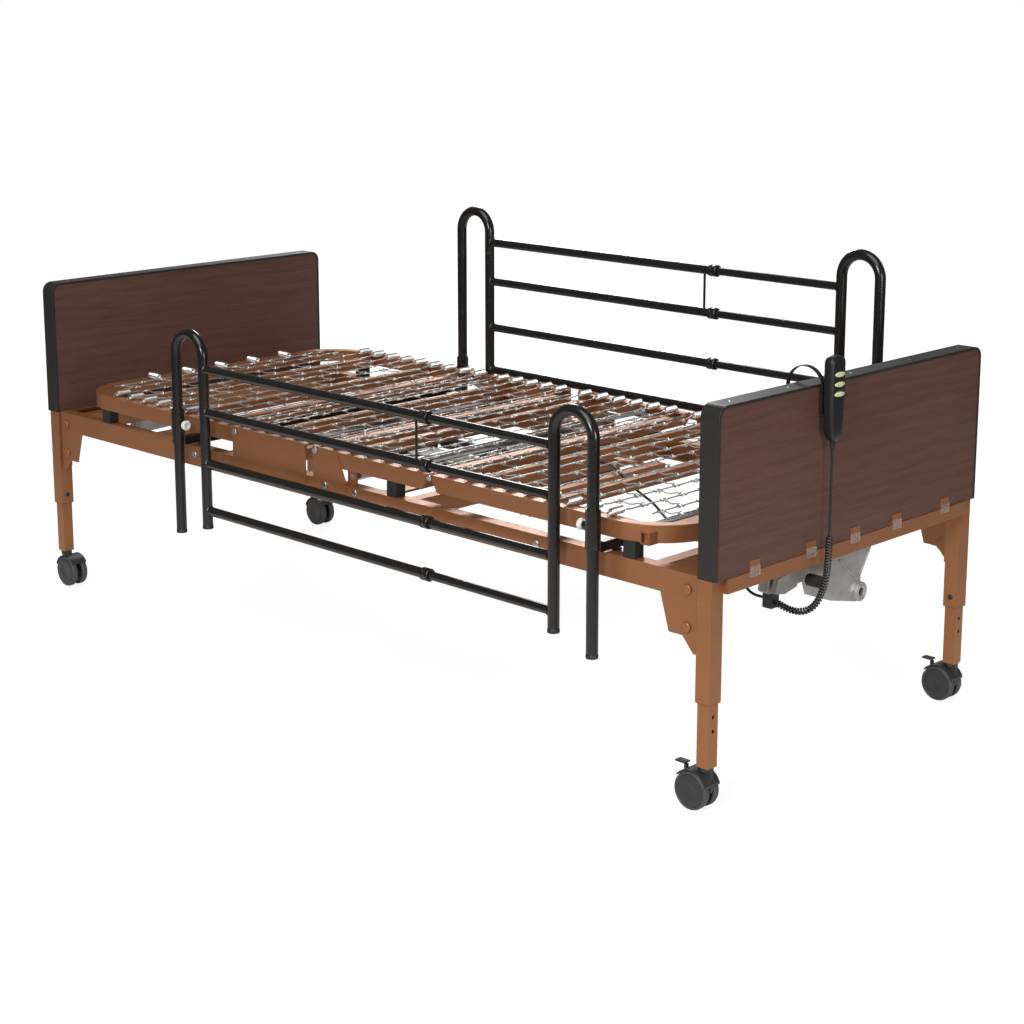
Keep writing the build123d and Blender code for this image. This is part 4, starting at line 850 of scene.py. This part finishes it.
@dataclass
class LinkFabric:
    """Wire link fabric of one section, with its helical springs."""

    shop: Workshop
    node: str
    start: float
    stop: float
    rounded_start: bool = False
    rounded_stop: bool = False
    pitch: float = 56.0
    corner: float = 76.0
    wire: float = 1.6
    level: float = 556.0
    spring_level: float = 560.2
    spring_start: float = 395.0
    spring_length: float = 44.5
    spring_radius: float = 8.1
    coils: int = 11
    coil_wire: float = 1.4
    columns: tuple = tuple(-341.0 + 62.0 * i for i in range(12))
    slant: float = 7.0
    knot_length: float = 24.0
    knot_wire: float = 1.35
    hook_radius: float = 4.4
    hook_wire: float = 1.25
    corner_half: float = 372.0
    loose_half: float = 398.0
    corner_reach: float = 90.0
    rise_run: float = 26.0

    def rows(self) -> tuple[np.ndarray, np.ndarray]:
        """X of the rows that springs hold, and of the loose rows near a rounded end or a hinge."""
        low = self.start + (self.corner if self.rounded_start else 0)
        high = self.stop - (self.corner if self.rounded_stop else 0)
        count = round((high - low) / self.pitch)
        step = (high - low) / count
        held = low + step * (np.arange(count) + 0.5)
        loose = []
        loose += [self.start + 4, self.start + 48] if self.rounded_start else [self.start + 3]
        loose += [self.stop - 48, self.stop - 4] if self.rounded_stop else [self.stop - 3]
        return held, np.array(loose)

    def coil(self, shape: Shape, origins: np.ndarray, along: Point, across: Point) -> None:
        """Close-wound springs: origin + along * s + radius * (cos t * across + sin t * Z).

        Args:
            shape: where they go.
            origins: (k, 3) starts of the coils on their axes.
            along: the axis of the springs.
            across: a level direction square to the axis.
        """
        along, across = np.array(along, float), np.array(across, float)
        t = np.linspace(0, self.coils * TURN, self.coils * 10 + 1)
        size = self.spring_radius - 1.35
        up = np.array((0.0, 0.0, 1.0))
        coil = (along * (t / t[-1] * (self.spring_length - 5) + 2.5)[:, None]
                + size * (np.cos(t)[:, None] * across + np.sin(t)[:, None] * up))
        lead = np.linspace(0, 1, 4)[:-1, None]
        first = (1 - lead) * (along * -4 + up * -2.5) + lead * coil[0]
        outer = along * (self.spring_length + 6) - up * 6.5
        last = coil[-1] + (outer - coil[-1]) * np.linspace(0, 1, 5)[1:, None]
        last[:, 2] += 2.5 * np.sin(np.linspace(0, math.pi, 5)[1:])
        path = np.concatenate([first, coil, last])
        shape.tubes(origins[:, None] + path[None], self.coil_wire, 4,
                    tuple(along * 0.98 + across * 0.2))

    def build(self) -> None:
        """Rows of wire, twisted knots on them, links between rows, and springs round the edge."""
        shape = Shape(f"{self.node}_wires")
        held, loose = self.rows()
        self.add_rows(shape, held, loose)
        self.add_links(shape, self.add_knots(shape, np.sort(np.r_[held, loose])))
        self.add_springs(shape, held)
        self.shop.finished(shape, "spring_wire", self.node, sharp=60.0)

    def loose_reach(self, x: float) -> float:
        """How far from the middle a loose row at x ends: less beside a rounded corner."""
        by_start = self.rounded_start and x < self.start + self.corner_reach
        by_stop = self.rounded_stop and x > self.stop - self.corner_reach
        return self.corner_half if by_start or by_stop else self.loose_half

    def add_rows(self, shape: Shape, held: np.ndarray, loose: np.ndarray) -> None:
        """Level wires across the bed, not quite straight.

        A held row rises to its springs by the square of the way along its last stretch.
        """
        x = np.r_[held, loose]
        half = np.r_[np.full(len(held), self.spring_start + 1.5),
                     [self.loose_reach(place) for place in loose]][:, None]
        run = half * np.linspace(-1, 1, 61)
        rise = np.clip((np.abs(run) - (half - self.rise_run)) / self.rise_run, 0, 1) ** 2
        lift = rise * (self.spring_level - self.level)
        lift[len(held):] = 0
        shake = np.random.default_rng(7).normal(0, 0.12, run.shape)
        sway = 0.5 * np.sin(run / 31 + x[:, None]) + shake
        shape.tubes(np.stack([x[:, None] + sway, run, self.level + lift], axis=-1), self.wire, 6,
                    (0, 0, 1))

    def add_knots(self, shape: Shape, xs: np.ndarray) -> np.ndarray:
        """Two turns of wire about each row at every column: (a cos t, length * part, b sin t).

        Args:
            shape: where they go.
            xs: the rows in order.

        Returns:
            The knots' centres, (rows, columns, 3).
        """
        x, y = np.meshgrid(xs, np.array(self.columns), indexing="ij")
        y = y + np.where(np.arange(len(xs)) % 2, self.slant, -self.slant)[:, None]
        grid = np.stack([x, y, np.full_like(x, self.level)], axis=-1)
        t = np.linspace(0, 2.0 * TURN, 17)
        knot = np.stack([3.4 * np.cos(t), self.knot_length * (t / t[-1] - 0.5),
                         2.7 * np.sin(t)], axis=1)
        shape.tubes(grid.reshape(-1, 1, 3) + knot, self.knot_wire, 4, (0.15, 1, 0.1))
        return grid

    def add_links(self, shape: Shape, grid: np.ndarray) -> None:
        """Waved links between every other pair of knots, with a hooked ring at each end.

        Link: a + (b - a) * s, with a sine on Z and a cosine on Y of one and a half waves.

        Args:
            shape: where they go.
            grid: the knots' centres.
        """
        a, b = (np.concatenate([knots[i::2, i::2].reshape(-1, 3) for i in (0, 1)])
                for knots in (grid[:-1], grid[1:]))
        s = np.linspace(0, 1, 8)
        link = a[:, None] + (b - a)[:, None] * s[:, None]
        link[..., 2] += 2.2 * np.sin(s * TURN * 1.5)
        link[..., 1] += 1.6 * np.cos(s * TURN * 1.5)
        shape.tubes(link, self.knot_wire, 4, (0, 0.2, 1))
        size = self.hook_radius
        hook = np.linspace(-0.25, 0.75, 8) * TURN
        ring = np.stack([size * np.cos(hook), 0.5 * hook, size * np.sin(hook)], axis=1)
        for end, way in ((a, 1.0), (b, -1.0)):
            centres = end + np.array((way * size, 2.2, 0))
            shape.tubes(centres[:, None] + ring[None], self.hook_wire, 4, (0.1, 1, 0.1))

    def add_springs(self, shape: Shape, held: np.ndarray) -> None:
        """Springs at both ends of the held rows, and five along each rounded end."""
        for side in (-1.0, 1.0):
            origins = np.stack([held, np.full(len(held), side * self.spring_start),
                                np.full(len(held), self.spring_level)], axis=1)
            self.coil(shape, origins, (0, side, 0), (side, 0, 0))
        places = 2 * self.pitch * (np.arange(5) - 2)
        for wanted, x, way in ((self.rounded_start, self.start - 0.5, -1.0),
                               (self.rounded_stop, self.stop + 0.5, 1.0)):
            if wanted:
                origins = np.stack([np.full(5, x), places, np.full(5, self.spring_level)], axis=1)
                self.coil(shape, origins, (way, 0, 0), (0, -way, 0))


@dataclass
class SideRail:
    """One telescoping side rail: a head half of large tubes and a foot half that slides in them."""

    shop: Workshop
    side: str
    y: float
    apex: float
    tube: float = 12.7
    bar: float = 11.2
    slider: float = 9.7
    hoop: float = 107.0
    head_x: float = -521.0
    foot_x: float = 850.0
    outer: float = 518.0
    inner: float = 488.0
    drops: tuple = (93.0, 199.0, 325.0, 443.0)
    joint: float = 377.0
    overlap: float = 77.0
    tie: float = 335.0
    tie_radius: float = 3.0

    def posts(self, shape: Shape, x: float, inward: float) -> None:
        """Outer post, half-round hoop and inner post as one bent tube.

        Args:
            shape: where it goes.
            x: the outer post.
            inward: +1 where the hoop turns towards +X.
        """
        radius = self.hoop / 2
        top = self.apex - self.tube - radius
        turn = np.linspace(math.pi, 0, 29)
        bend = np.stack([x + inward * (radius + radius * np.cos(turn)), np.full(29, self.y),
                         top + radius * np.sin(turn)], axis=1)
        ends = [(x, self.apex - self.outer), (x + inward * self.hoop, self.apex - self.inner)]
        runs = [np.stack([np.full(9, ex), np.full(9, self.y), np.linspace(ez, top, 10)[:-1]],
                         axis=1) for ex, ez in ends]
        shape.tubes(np.concatenate([runs[0], bend, runs[1][::-1]]), self.tube, 28, (0, 1, 0))

    def weld(self, shape: Shape, x: float, z: float, radius: float, way: float) -> None:
        """Small fillet bead where a bar of a radius meets the post at x, on the side of the way."""
        bead = [(radius - 0.5, -0.4), (radius + 2.0, 0.6), (radius + 1.4, 2.6), (radius - 0.4, 4.0)]
        start = (x + way * (self.tube - 2.2), self.y, z)
        shape.turned(facing(bead, way), start, Axis.X, 28)

    def build(self) -> None:
        """Both halves: posts, bars with their sleeves, the tie between two bars, and foot caps."""
        head = Shape(f"{self.side}_rail_large_tubes")
        foot = Shape(f"{self.side}_rail_small_tubes")
        self.posts(head, self.head_x, 1.0)
        self.posts(foot, self.foot_x, -1.0)
        inner_head, inner_foot = self.head_x + self.hoop, self.foot_x - self.hoop
        end = self.joint
        sleeve = [(14.2, end - 24), (14.5, end - 23), (14.5, end - 16), (13.9, end - 15.2),
                  (13.9, end - 13.8), (14.5, end - 13), (14.5, end - 1.2), (13.6, end),
                  (10.3, end), (10.2, end - 20)]
        large = [(self.bar, inner_head + 9), (self.bar, 0.0), (self.bar, end - 25), *sleeve,
                 (self.bar, end - 21)]
        for drop in self.drops:
            z = self.apex - drop
            head.turned(large, (0, self.y, z), Axis.X, 28)
            self.weld(head, inner_head, z, self.bar, 1.0)
            run = np.stack([np.linspace(end - self.overlap, inner_foot - 8, 8),
                            np.full(8, self.y), np.full(8, z)], axis=1)
            foot.tubes(run, self.slider, 28, (0, 0, 1))
            self.weld(foot, inner_foot, z, self.slider, -1.0)
        rise = np.linspace(self.apex - self.drops[1] + 11, self.apex - self.drops[0] - 11, 5)
        tie = np.stack([np.full(5, self.tie), np.full(5, self.y), rise], axis=1)
        head.tubes(tie, self.tie_radius, 14, (1, 0, 0))
        cap = [(12.55, 0.2), (13.2, 0.4), (13.2, 8.0), (12.5, 9.0)]
        for shape, x, low in ((head, self.head_x, self.outer), (head, inner_head, self.inner),
                              (foot, self.foot_x, self.outer), (foot, inner_foot, self.inner)):
            shape.turned(cap, (x, self.y, self.apex - low), Axis.Z, 28, 1)
        extra = (self.shop.finishes["black_plastic"],)
        self.shop.finished(head, "black_paint", f"{self.side}_rail_head", extra=extra)
        self.shop.finished(foot, "black_paint", f"{self.side}_rail_foot", extra=extra)


@dataclass
class Knob:
    """White pull knob of a post collar."""

    shop: Workshop
    node: str
    x: float
    y: float
    way: float
    z: float = 540.0
    stand_off: float = 24.5

    def build(self) -> None:
        """A dished button with a grip groove on a short stem, turned as one profile."""
        shape = Shape(f"{self.node}_button")
        outline = [(0, -11.2), (3.0, -11.2), (3.0, 0), (9.0, 0), (10.4, 0.5), (10.9, 1.6),
                   (10.4, 3.2), (10.5, 4.6), (11.7, 6.0), (12.0, 7.4), (12.0, 9.6), (11.2, 11.3),
                   (9.4, 12.0), (7.2, 11.7), (4.2, 10.4), (2.2, 9.6), (1.9, 8.2), (0, 8.0)]
        seat = (self.x + self.way * self.stand_off, self.y, self.z)
        shape.turned(facing(outline, self.way), seat, Axis.X, 40)
        self.shop.finished(shape, "white_plastic", self.node)


@dataclass
class Caster:
    """Twin wheel caster under one leg."""

    shop: Workshop
    corner: str
    far: float
    foot: float
    brake: bool = False
    leg: tuple = (1113.0, 439.0)
    trail: float = 24.0
    radius: float = 40.0
    spread: float = 15.0
    tread: ClassVar[list] = [(34.6, -7.4), (35.4, -8.0), (37.4, -7.8), (39.2, -6.6), (40.0, -4.4),
                             (40.0, 4.4), (39.2, 6.6), (37.4, 7.8), (35.4, 8.0), (34.6, 7.2)]
    hub_face: ClassVar[list] = [(34.6, 7.2), (33.9, 7.0), (33.2, 7.5), (30.0, 7.9), (8.0, 8.0),
                                (7.4, 7.7), (6.8, 8.0), (5.2, 8.0)]
    bore: ClassVar[list] = [(5.2, 8.0), (5.2, -6.0)]
    hub_back: ClassVar[list] = [(5.2, -6.0), (12.0, -6.2), (13.0, -5.2), (31.0, -5.2),
                                (33.0, -6.0), (34.6, -7.4)]

    def build(self) -> None:
        """Wheels turned from one profile, hubs dished on the outside, and the hood's eased copy."""
        shop = self.shop
        x, y = self.foot * (self.leg[0] - self.trail), self.far * self.leg[1]
        wheels = Shape(f"{self.corner}_twin_wheels")
        for way in (-1.0, 1.0):
            middle = (x, y + way * self.spread, self.radius)
            wheels.turned(facing(self.tread, way), middle, Axis.Y, 56)
            for part in (self.hub_face, self.bore, self.hub_back):
                wheels.turned(facing(part, way), middle, Axis.Y, 56, 1)
        shop.finished(wheels, "caster_wheel", f"{self.corner}_caster_wheels",
                      extra=(shop.finishes["caster_plastic"],))
        shop.rounded(f"{self.corner}_caster_fork", "caster_plastic", 1.2)
        if self.brake:
            shop.rounded(f"{self.corner}_caster_pedal", "caster_plastic", 1.4)


@dataclass
class Gearbox:
    """Ribs and a bearing ring on the die-cast gearbox under an end panel."""

    shop: Workshop
    end: str
    way: float
    face: float = 1129.0
    rib_half: float = 2.2
    rib_root: float = 2.0
    rib_height: float = 2.4
    ribs: tuple = (((-82.0, 441.0), (-2.0, 441.0)), ((-34.0, 434.0), (22.0, 384.0)),
                   ((70.0, 434.0), (40.0, 388.0)))
    bearing: tuple = (30.0, 354.0)

    def build(self) -> None:
        """The eased casting, and detail cast on to its outward face."""
        shop = self.shop
        shop.rounded(f"{self.end}_gearbox", "cast_aluminium", 1.2)
        shape = Shape(f"{self.end}_gearbox_detail")
        depths = sorted((self.way * (self.face - self.rib_root),
                         self.way * (self.face + self.rib_height)))
        for (y0, z0), (y1, z1) in self.ribs:
            run, rise = y1 - y0, z1 - z0
            size = math.hypot(run, rise)
            ny, nz = -rise / size * self.rib_half, run / size * self.rib_half
            rib = [(y0 - ny, z0 - nz), (y1 - ny, z1 - nz), (y1 + ny, z1 + nz), (y0 + ny, z0 + nz)]
            shape.slab(rib, Axis.X, *depths, 1.0)
        ring = [(20.0, 9.0), (20.0, 12.2), (19.0, 13.2), (16.0, 13.2), (15.4, 12.4),
                (13.6, 12.4), (13.0, 13.2), (11.2, 13.2), (9.3, 12.2), (9.3, 9.0)]
        shape.turned(facing(ring, self.way), (self.way * self.face, *self.bearing), Axis.X, 44)
        piece = shape.build(shop.place, [shop.finishes["cast_aluminium"]])
        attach(piece, shop.body.of_node[f"{self.end}_gearbox"])
        log.info("%s added", piece.name)


@dataclass
class Steelwork:
    """CAD nodes whose shape is right: eased copies, and kept ones that only need a finish."""

    shop: Workshop
    eased: tuple = (
        ("head_end_frame", "copper_paint", 1.2), ("foot_end_frame", "copper_paint", 1.2),
        ("head_leg_yoke", "copper_paint", 0.8), ("foot_leg_yoke", "copper_paint", 0.8),
        ("head_main_frame", "copper_paint", 0.9), ("foot_main_frame", "copper_paint", 0.9),
        ("head_deck_frame", "copper_paint", 0.9), ("thigh_frame", "copper_paint", 0.9),
        ("foot_deck_frame", "copper_paint", 0.9), ("head_crossbar", "black_paint", 0.9),
        ("foot_crossbar", "black_paint", 0.9), ("head_panel_trim", "black_trim", 1.0),
        ("foot_panel_trim", "black_trim", 1.0), ("motor_housing", "black_plastic", 1.6),
        ("knee_bolts", "zinc", 1.5), ("rubber_bumpers", "rubber", 1.5),
        ("head_lift_arm", "zinc", 0.8), ("knee_lift_arm", "zinc", 0.8), ("head_rod", "zinc", 0.8),
        ("knee_rod", "zinc", 0.8), ("panel_clips", "clear_plastic", 0.4))
    kept: tuple = (("head_panel_boards", "laminate"), ("foot_panel_boards", "laminate"),
                   ("drive_shafts", "zinc"), ("motor_lead", "cord_jacket"))
    leg: tuple = (1113.0, 439.0)
    leg_half: float = 18.0
    mouth: float = 225.0
    lip: float = 1.5
    button_height: float = 249.0
    screw_places: tuple = (-395.0, -210.0, 0.0, 210.0, 395.0)
    trim_top: tuple = (1118.0, 821.6)

    def build(self) -> None:
        """Ease the edges of the first list, and dress the second."""
        for node, slot, width in self.eased:
            self.shop.rounded(node, slot, width)
        for node, slot in self.kept:
            obj = self.shop.frame["nodes"][node]
            for holder in obj.material_slots:
                holder.material = self.shop.finishes[slot]
            log.info("%s keeps its shape", node)
        self.shop.rounded("frame_bolts", "zinc", 1.5, 1.02)
        self.leg_buttons()
        self.trim_screws()

    def leg_buttons(self) -> None:
        """Black bushing round each outer leg's mouth, with a button on each inward wall.

        The bushing is a square ring: a short closed section carried round four corners.
        """
        shape = Shape("leg_bushings")
        button = [(6.2, -1.0), (6.2, 0.8), (5.4, 2.0), (3.6, 2.9), (0, 3.2)]
        corner = np.array([(-1, -1), (1, -1), (1, 1), (-1, 1)], float)
        section = [(14.8, self.mouth), (17.2, self.mouth), (17.2, self.mouth + self.lip),
                   (14.8, self.mouth + self.lip), (14.8, self.mouth)]
        for way in (-1.0, 1.0):
            for side in (-1.0, 1.0):
                x, y = way * self.leg[0], side * self.leg[1]
                for axis, dx, dy in ((Axis.X, -way, 0.0), (Axis.Y, 0.0, -side)):
                    wall = (x + self.leg_half * dx, y + self.leg_half * dy, self.button_height)
                    shape.turned(facing(button, dx + dy), wall, axis, 20)
                shape.loft(np.stack([np.c_[corner * half + (x, y), np.full(4, z)]
                                     for half, z in section]))
        self.shop.finished(shape, "black_plastic", "leg_glides")

    def trim_screws(self) -> None:
        """Small countersunk screws along the top of each panel's moulding."""
        head = [(4.2, -1.5), (4.2, 0.15), (3.6, 0.5), (1.6, 0.55), (1.2, 0.1), (0, 0.0)]
        for end, way in (("head", -1.0), ("foot", 1.0)):
            shape = Shape(f"{end}_trim_screws")
            for y in self.screw_places:
                shape.turned(head, (way * self.trim_top[0], y, self.trim_top[1]), Axis.Z, 18)
            piece = shape.build(self.shop.place, [self.shop.finishes["zinc"]])
            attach(piece, self.shop.body.of_node[f"{end}_panel_trim"])


@dataclass
class Studio:
    """Camera, pale floor and soft light."""

    shop: Workshop
    eye: Point = (3507.7, -3435.1, 1623.2)
    tilt: float = 77.92
    pan: float = 44.37
    lens: float = 72.28
    drop: float = -0.0977
    fill: float = 0.16
    ceiling: float = 1.7
    floor_half: float = 16000.0

    def build_camera(self) -> None:
        """The camera comes first."""
        camera = bpy.data.cameras.new("camera")
        camera.lens = self.lens
        camera.sensor_width = 36.0
        camera.shift_y = self.drop
        camera.clip_end = 60.0
        holder = bpy.data.objects.new("camera", camera)
        holder.location = self.shop.place.metres(self.eye)
        holder.rotation_euler = (math.radians(self.tilt), 0.0, math.radians(self.pan))
        bpy.context.scene.collection.objects.link(holder)
        bpy.context.scene.camera = holder

    def lamp(self, name: str, at: Point, size: float, power: float) -> None:
        """A square area light that faces the bed's middle."""
        light = bpy.data.lights.new(name, "AREA")
        light.size = size
        light.energy = power
        holder = bpy.data.objects.new(name, light)
        holder.location = at
        aim = np.array((0.0, 0.0, 0.5)) - np.array(at, float)
        flat = math.hypot(aim[0], aim[1])
        holder.rotation_euler = (math.atan2(flat, -aim[2]), 0.0,
                                 math.atan2(aim[1], aim[0]) - math.pi / 2)
        bpy.context.scene.collection.objects.link(holder)

    def build(self) -> None:
        """Floor, sky and lamps."""
        floor = Shape("studio_floor")
        half = self.floor_half
        corners = [(-half, -half, 0), (half, -half, 0), (half, half, 0), (-half, half, 0)]
        floor.add(np.array(corners), [np.array([[0, 1, 2, 3]])])
        s = Shader("floor")
        seen = s.node("ShaderNodeLightPath", {}, {}, "Is Camera Ray")
        reach = s.node("ShaderNodeVectorMath", {"operation": "LENGTH"}, {0: s.place()}, "Value")
        bounce = s.blend(reach.above(2.6, 2.2), (0.82, 0.80, 0.78), (0.08, 0.08, 0.08))
        pale = s.finish({"Base Color": s.blend(seen, bounce, (0.24, 0.24, 0.24)), "Roughness": 0.9,
                         "Emission Color": (1.0, 1.0, 1.0, 1.0),
                         "Emission Strength": seen * 0.84})
        floor.build(self.shop.place, [pale])
        scene = bpy.context.scene
        world = bpy.data.worlds.new("studio")
        world.use_nodes = True
        nodes, links = world.node_tree.nodes, world.node_tree.links
        ray = nodes.new("ShaderNodeLightPath")
        level = nodes.new("ShaderNodeMapRange")
        level.inputs["To Min"].default_value = self.fill
        level.inputs["To Max"].default_value = 1.0
        links.new(ray.outputs["Is Camera Ray"], level.inputs["Value"])
        links.new(level.outputs["Result"], nodes["Background"].inputs["Strength"])
        nodes["Background"].inputs["Color"].default_value = (1.0, 1.0, 1.0, 1.0)
        scene.world = world
        scene.view_settings.view_transform = "Standard"
        sun = bpy.data.lights.new("ceiling", "SUN")
        sun.energy = self.ceiling
        sun.angle = math.radians(50)
        holder = bpy.data.objects.new("ceiling", sun)
        holder.rotation_euler = (math.radians(30), math.radians(14), 0.0)
        scene.collection.objects.link(holder)
        self.lamp("key", (2.2, -4.6, 2.4), 1.3, 120.0)
        self.lamp("rim", (-3.6, 3.8, 3.2), 1.4, 110.0)
        self.lamp("end", (5.2, -1.0, 1.2), 1.4, 60.0)


def main() -> None:
    """Build the bed's looks in order."""
    logging.basicConfig(level=logging.INFO, format="%(message)s")
    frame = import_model()
    shop = Workshop(frame)
    studio = Studio(shop)
    studio.build_camera()
    pendant = Pendant(shop)
    pendant.build_cords()
    Steelwork(shop).build()
    for node, start, stop, first, last in (
            ("head_fabric", -956.0, -354.0, True, False),
            ("seat_fabric", -322.0, -57.5, False, False),
            ("thigh_fabric", -25.5, 320.0, False, False),
            ("foot_fabric", 352.0, 956.0, False, True)):
        LinkFabric(shop, node, start, stop, first, last).build()
    SideRail(shop, "near", -487.0, 783.0).build()
    SideRail(shop, "far", 487.0, 1000.0).build()
    for side, y in (("near", -487.0), ("far", 487.0)):
        Knob(shop, f"{side}_head_knob", -521.0, y, 1.0).build()
        Knob(shop, f"{side}_foot_knob", 850.0, y, -1.0).build()
    for corner, far, foot in (("far_foot", 1.0, 1.0), ("near_foot", -1.0, 1.0),
                              ("far_head", 1.0, -1.0), ("near_head", -1.0, -1.0)):
        Caster(shop, corner, far, foot, brake=foot > 0).build()
    for end, way in (("head", -1.0), ("foot", 1.0)):
        Gearbox(shop, end, way).build()
    pendant.build()
    studio.build()


if __name__ == "__main__":
    main()
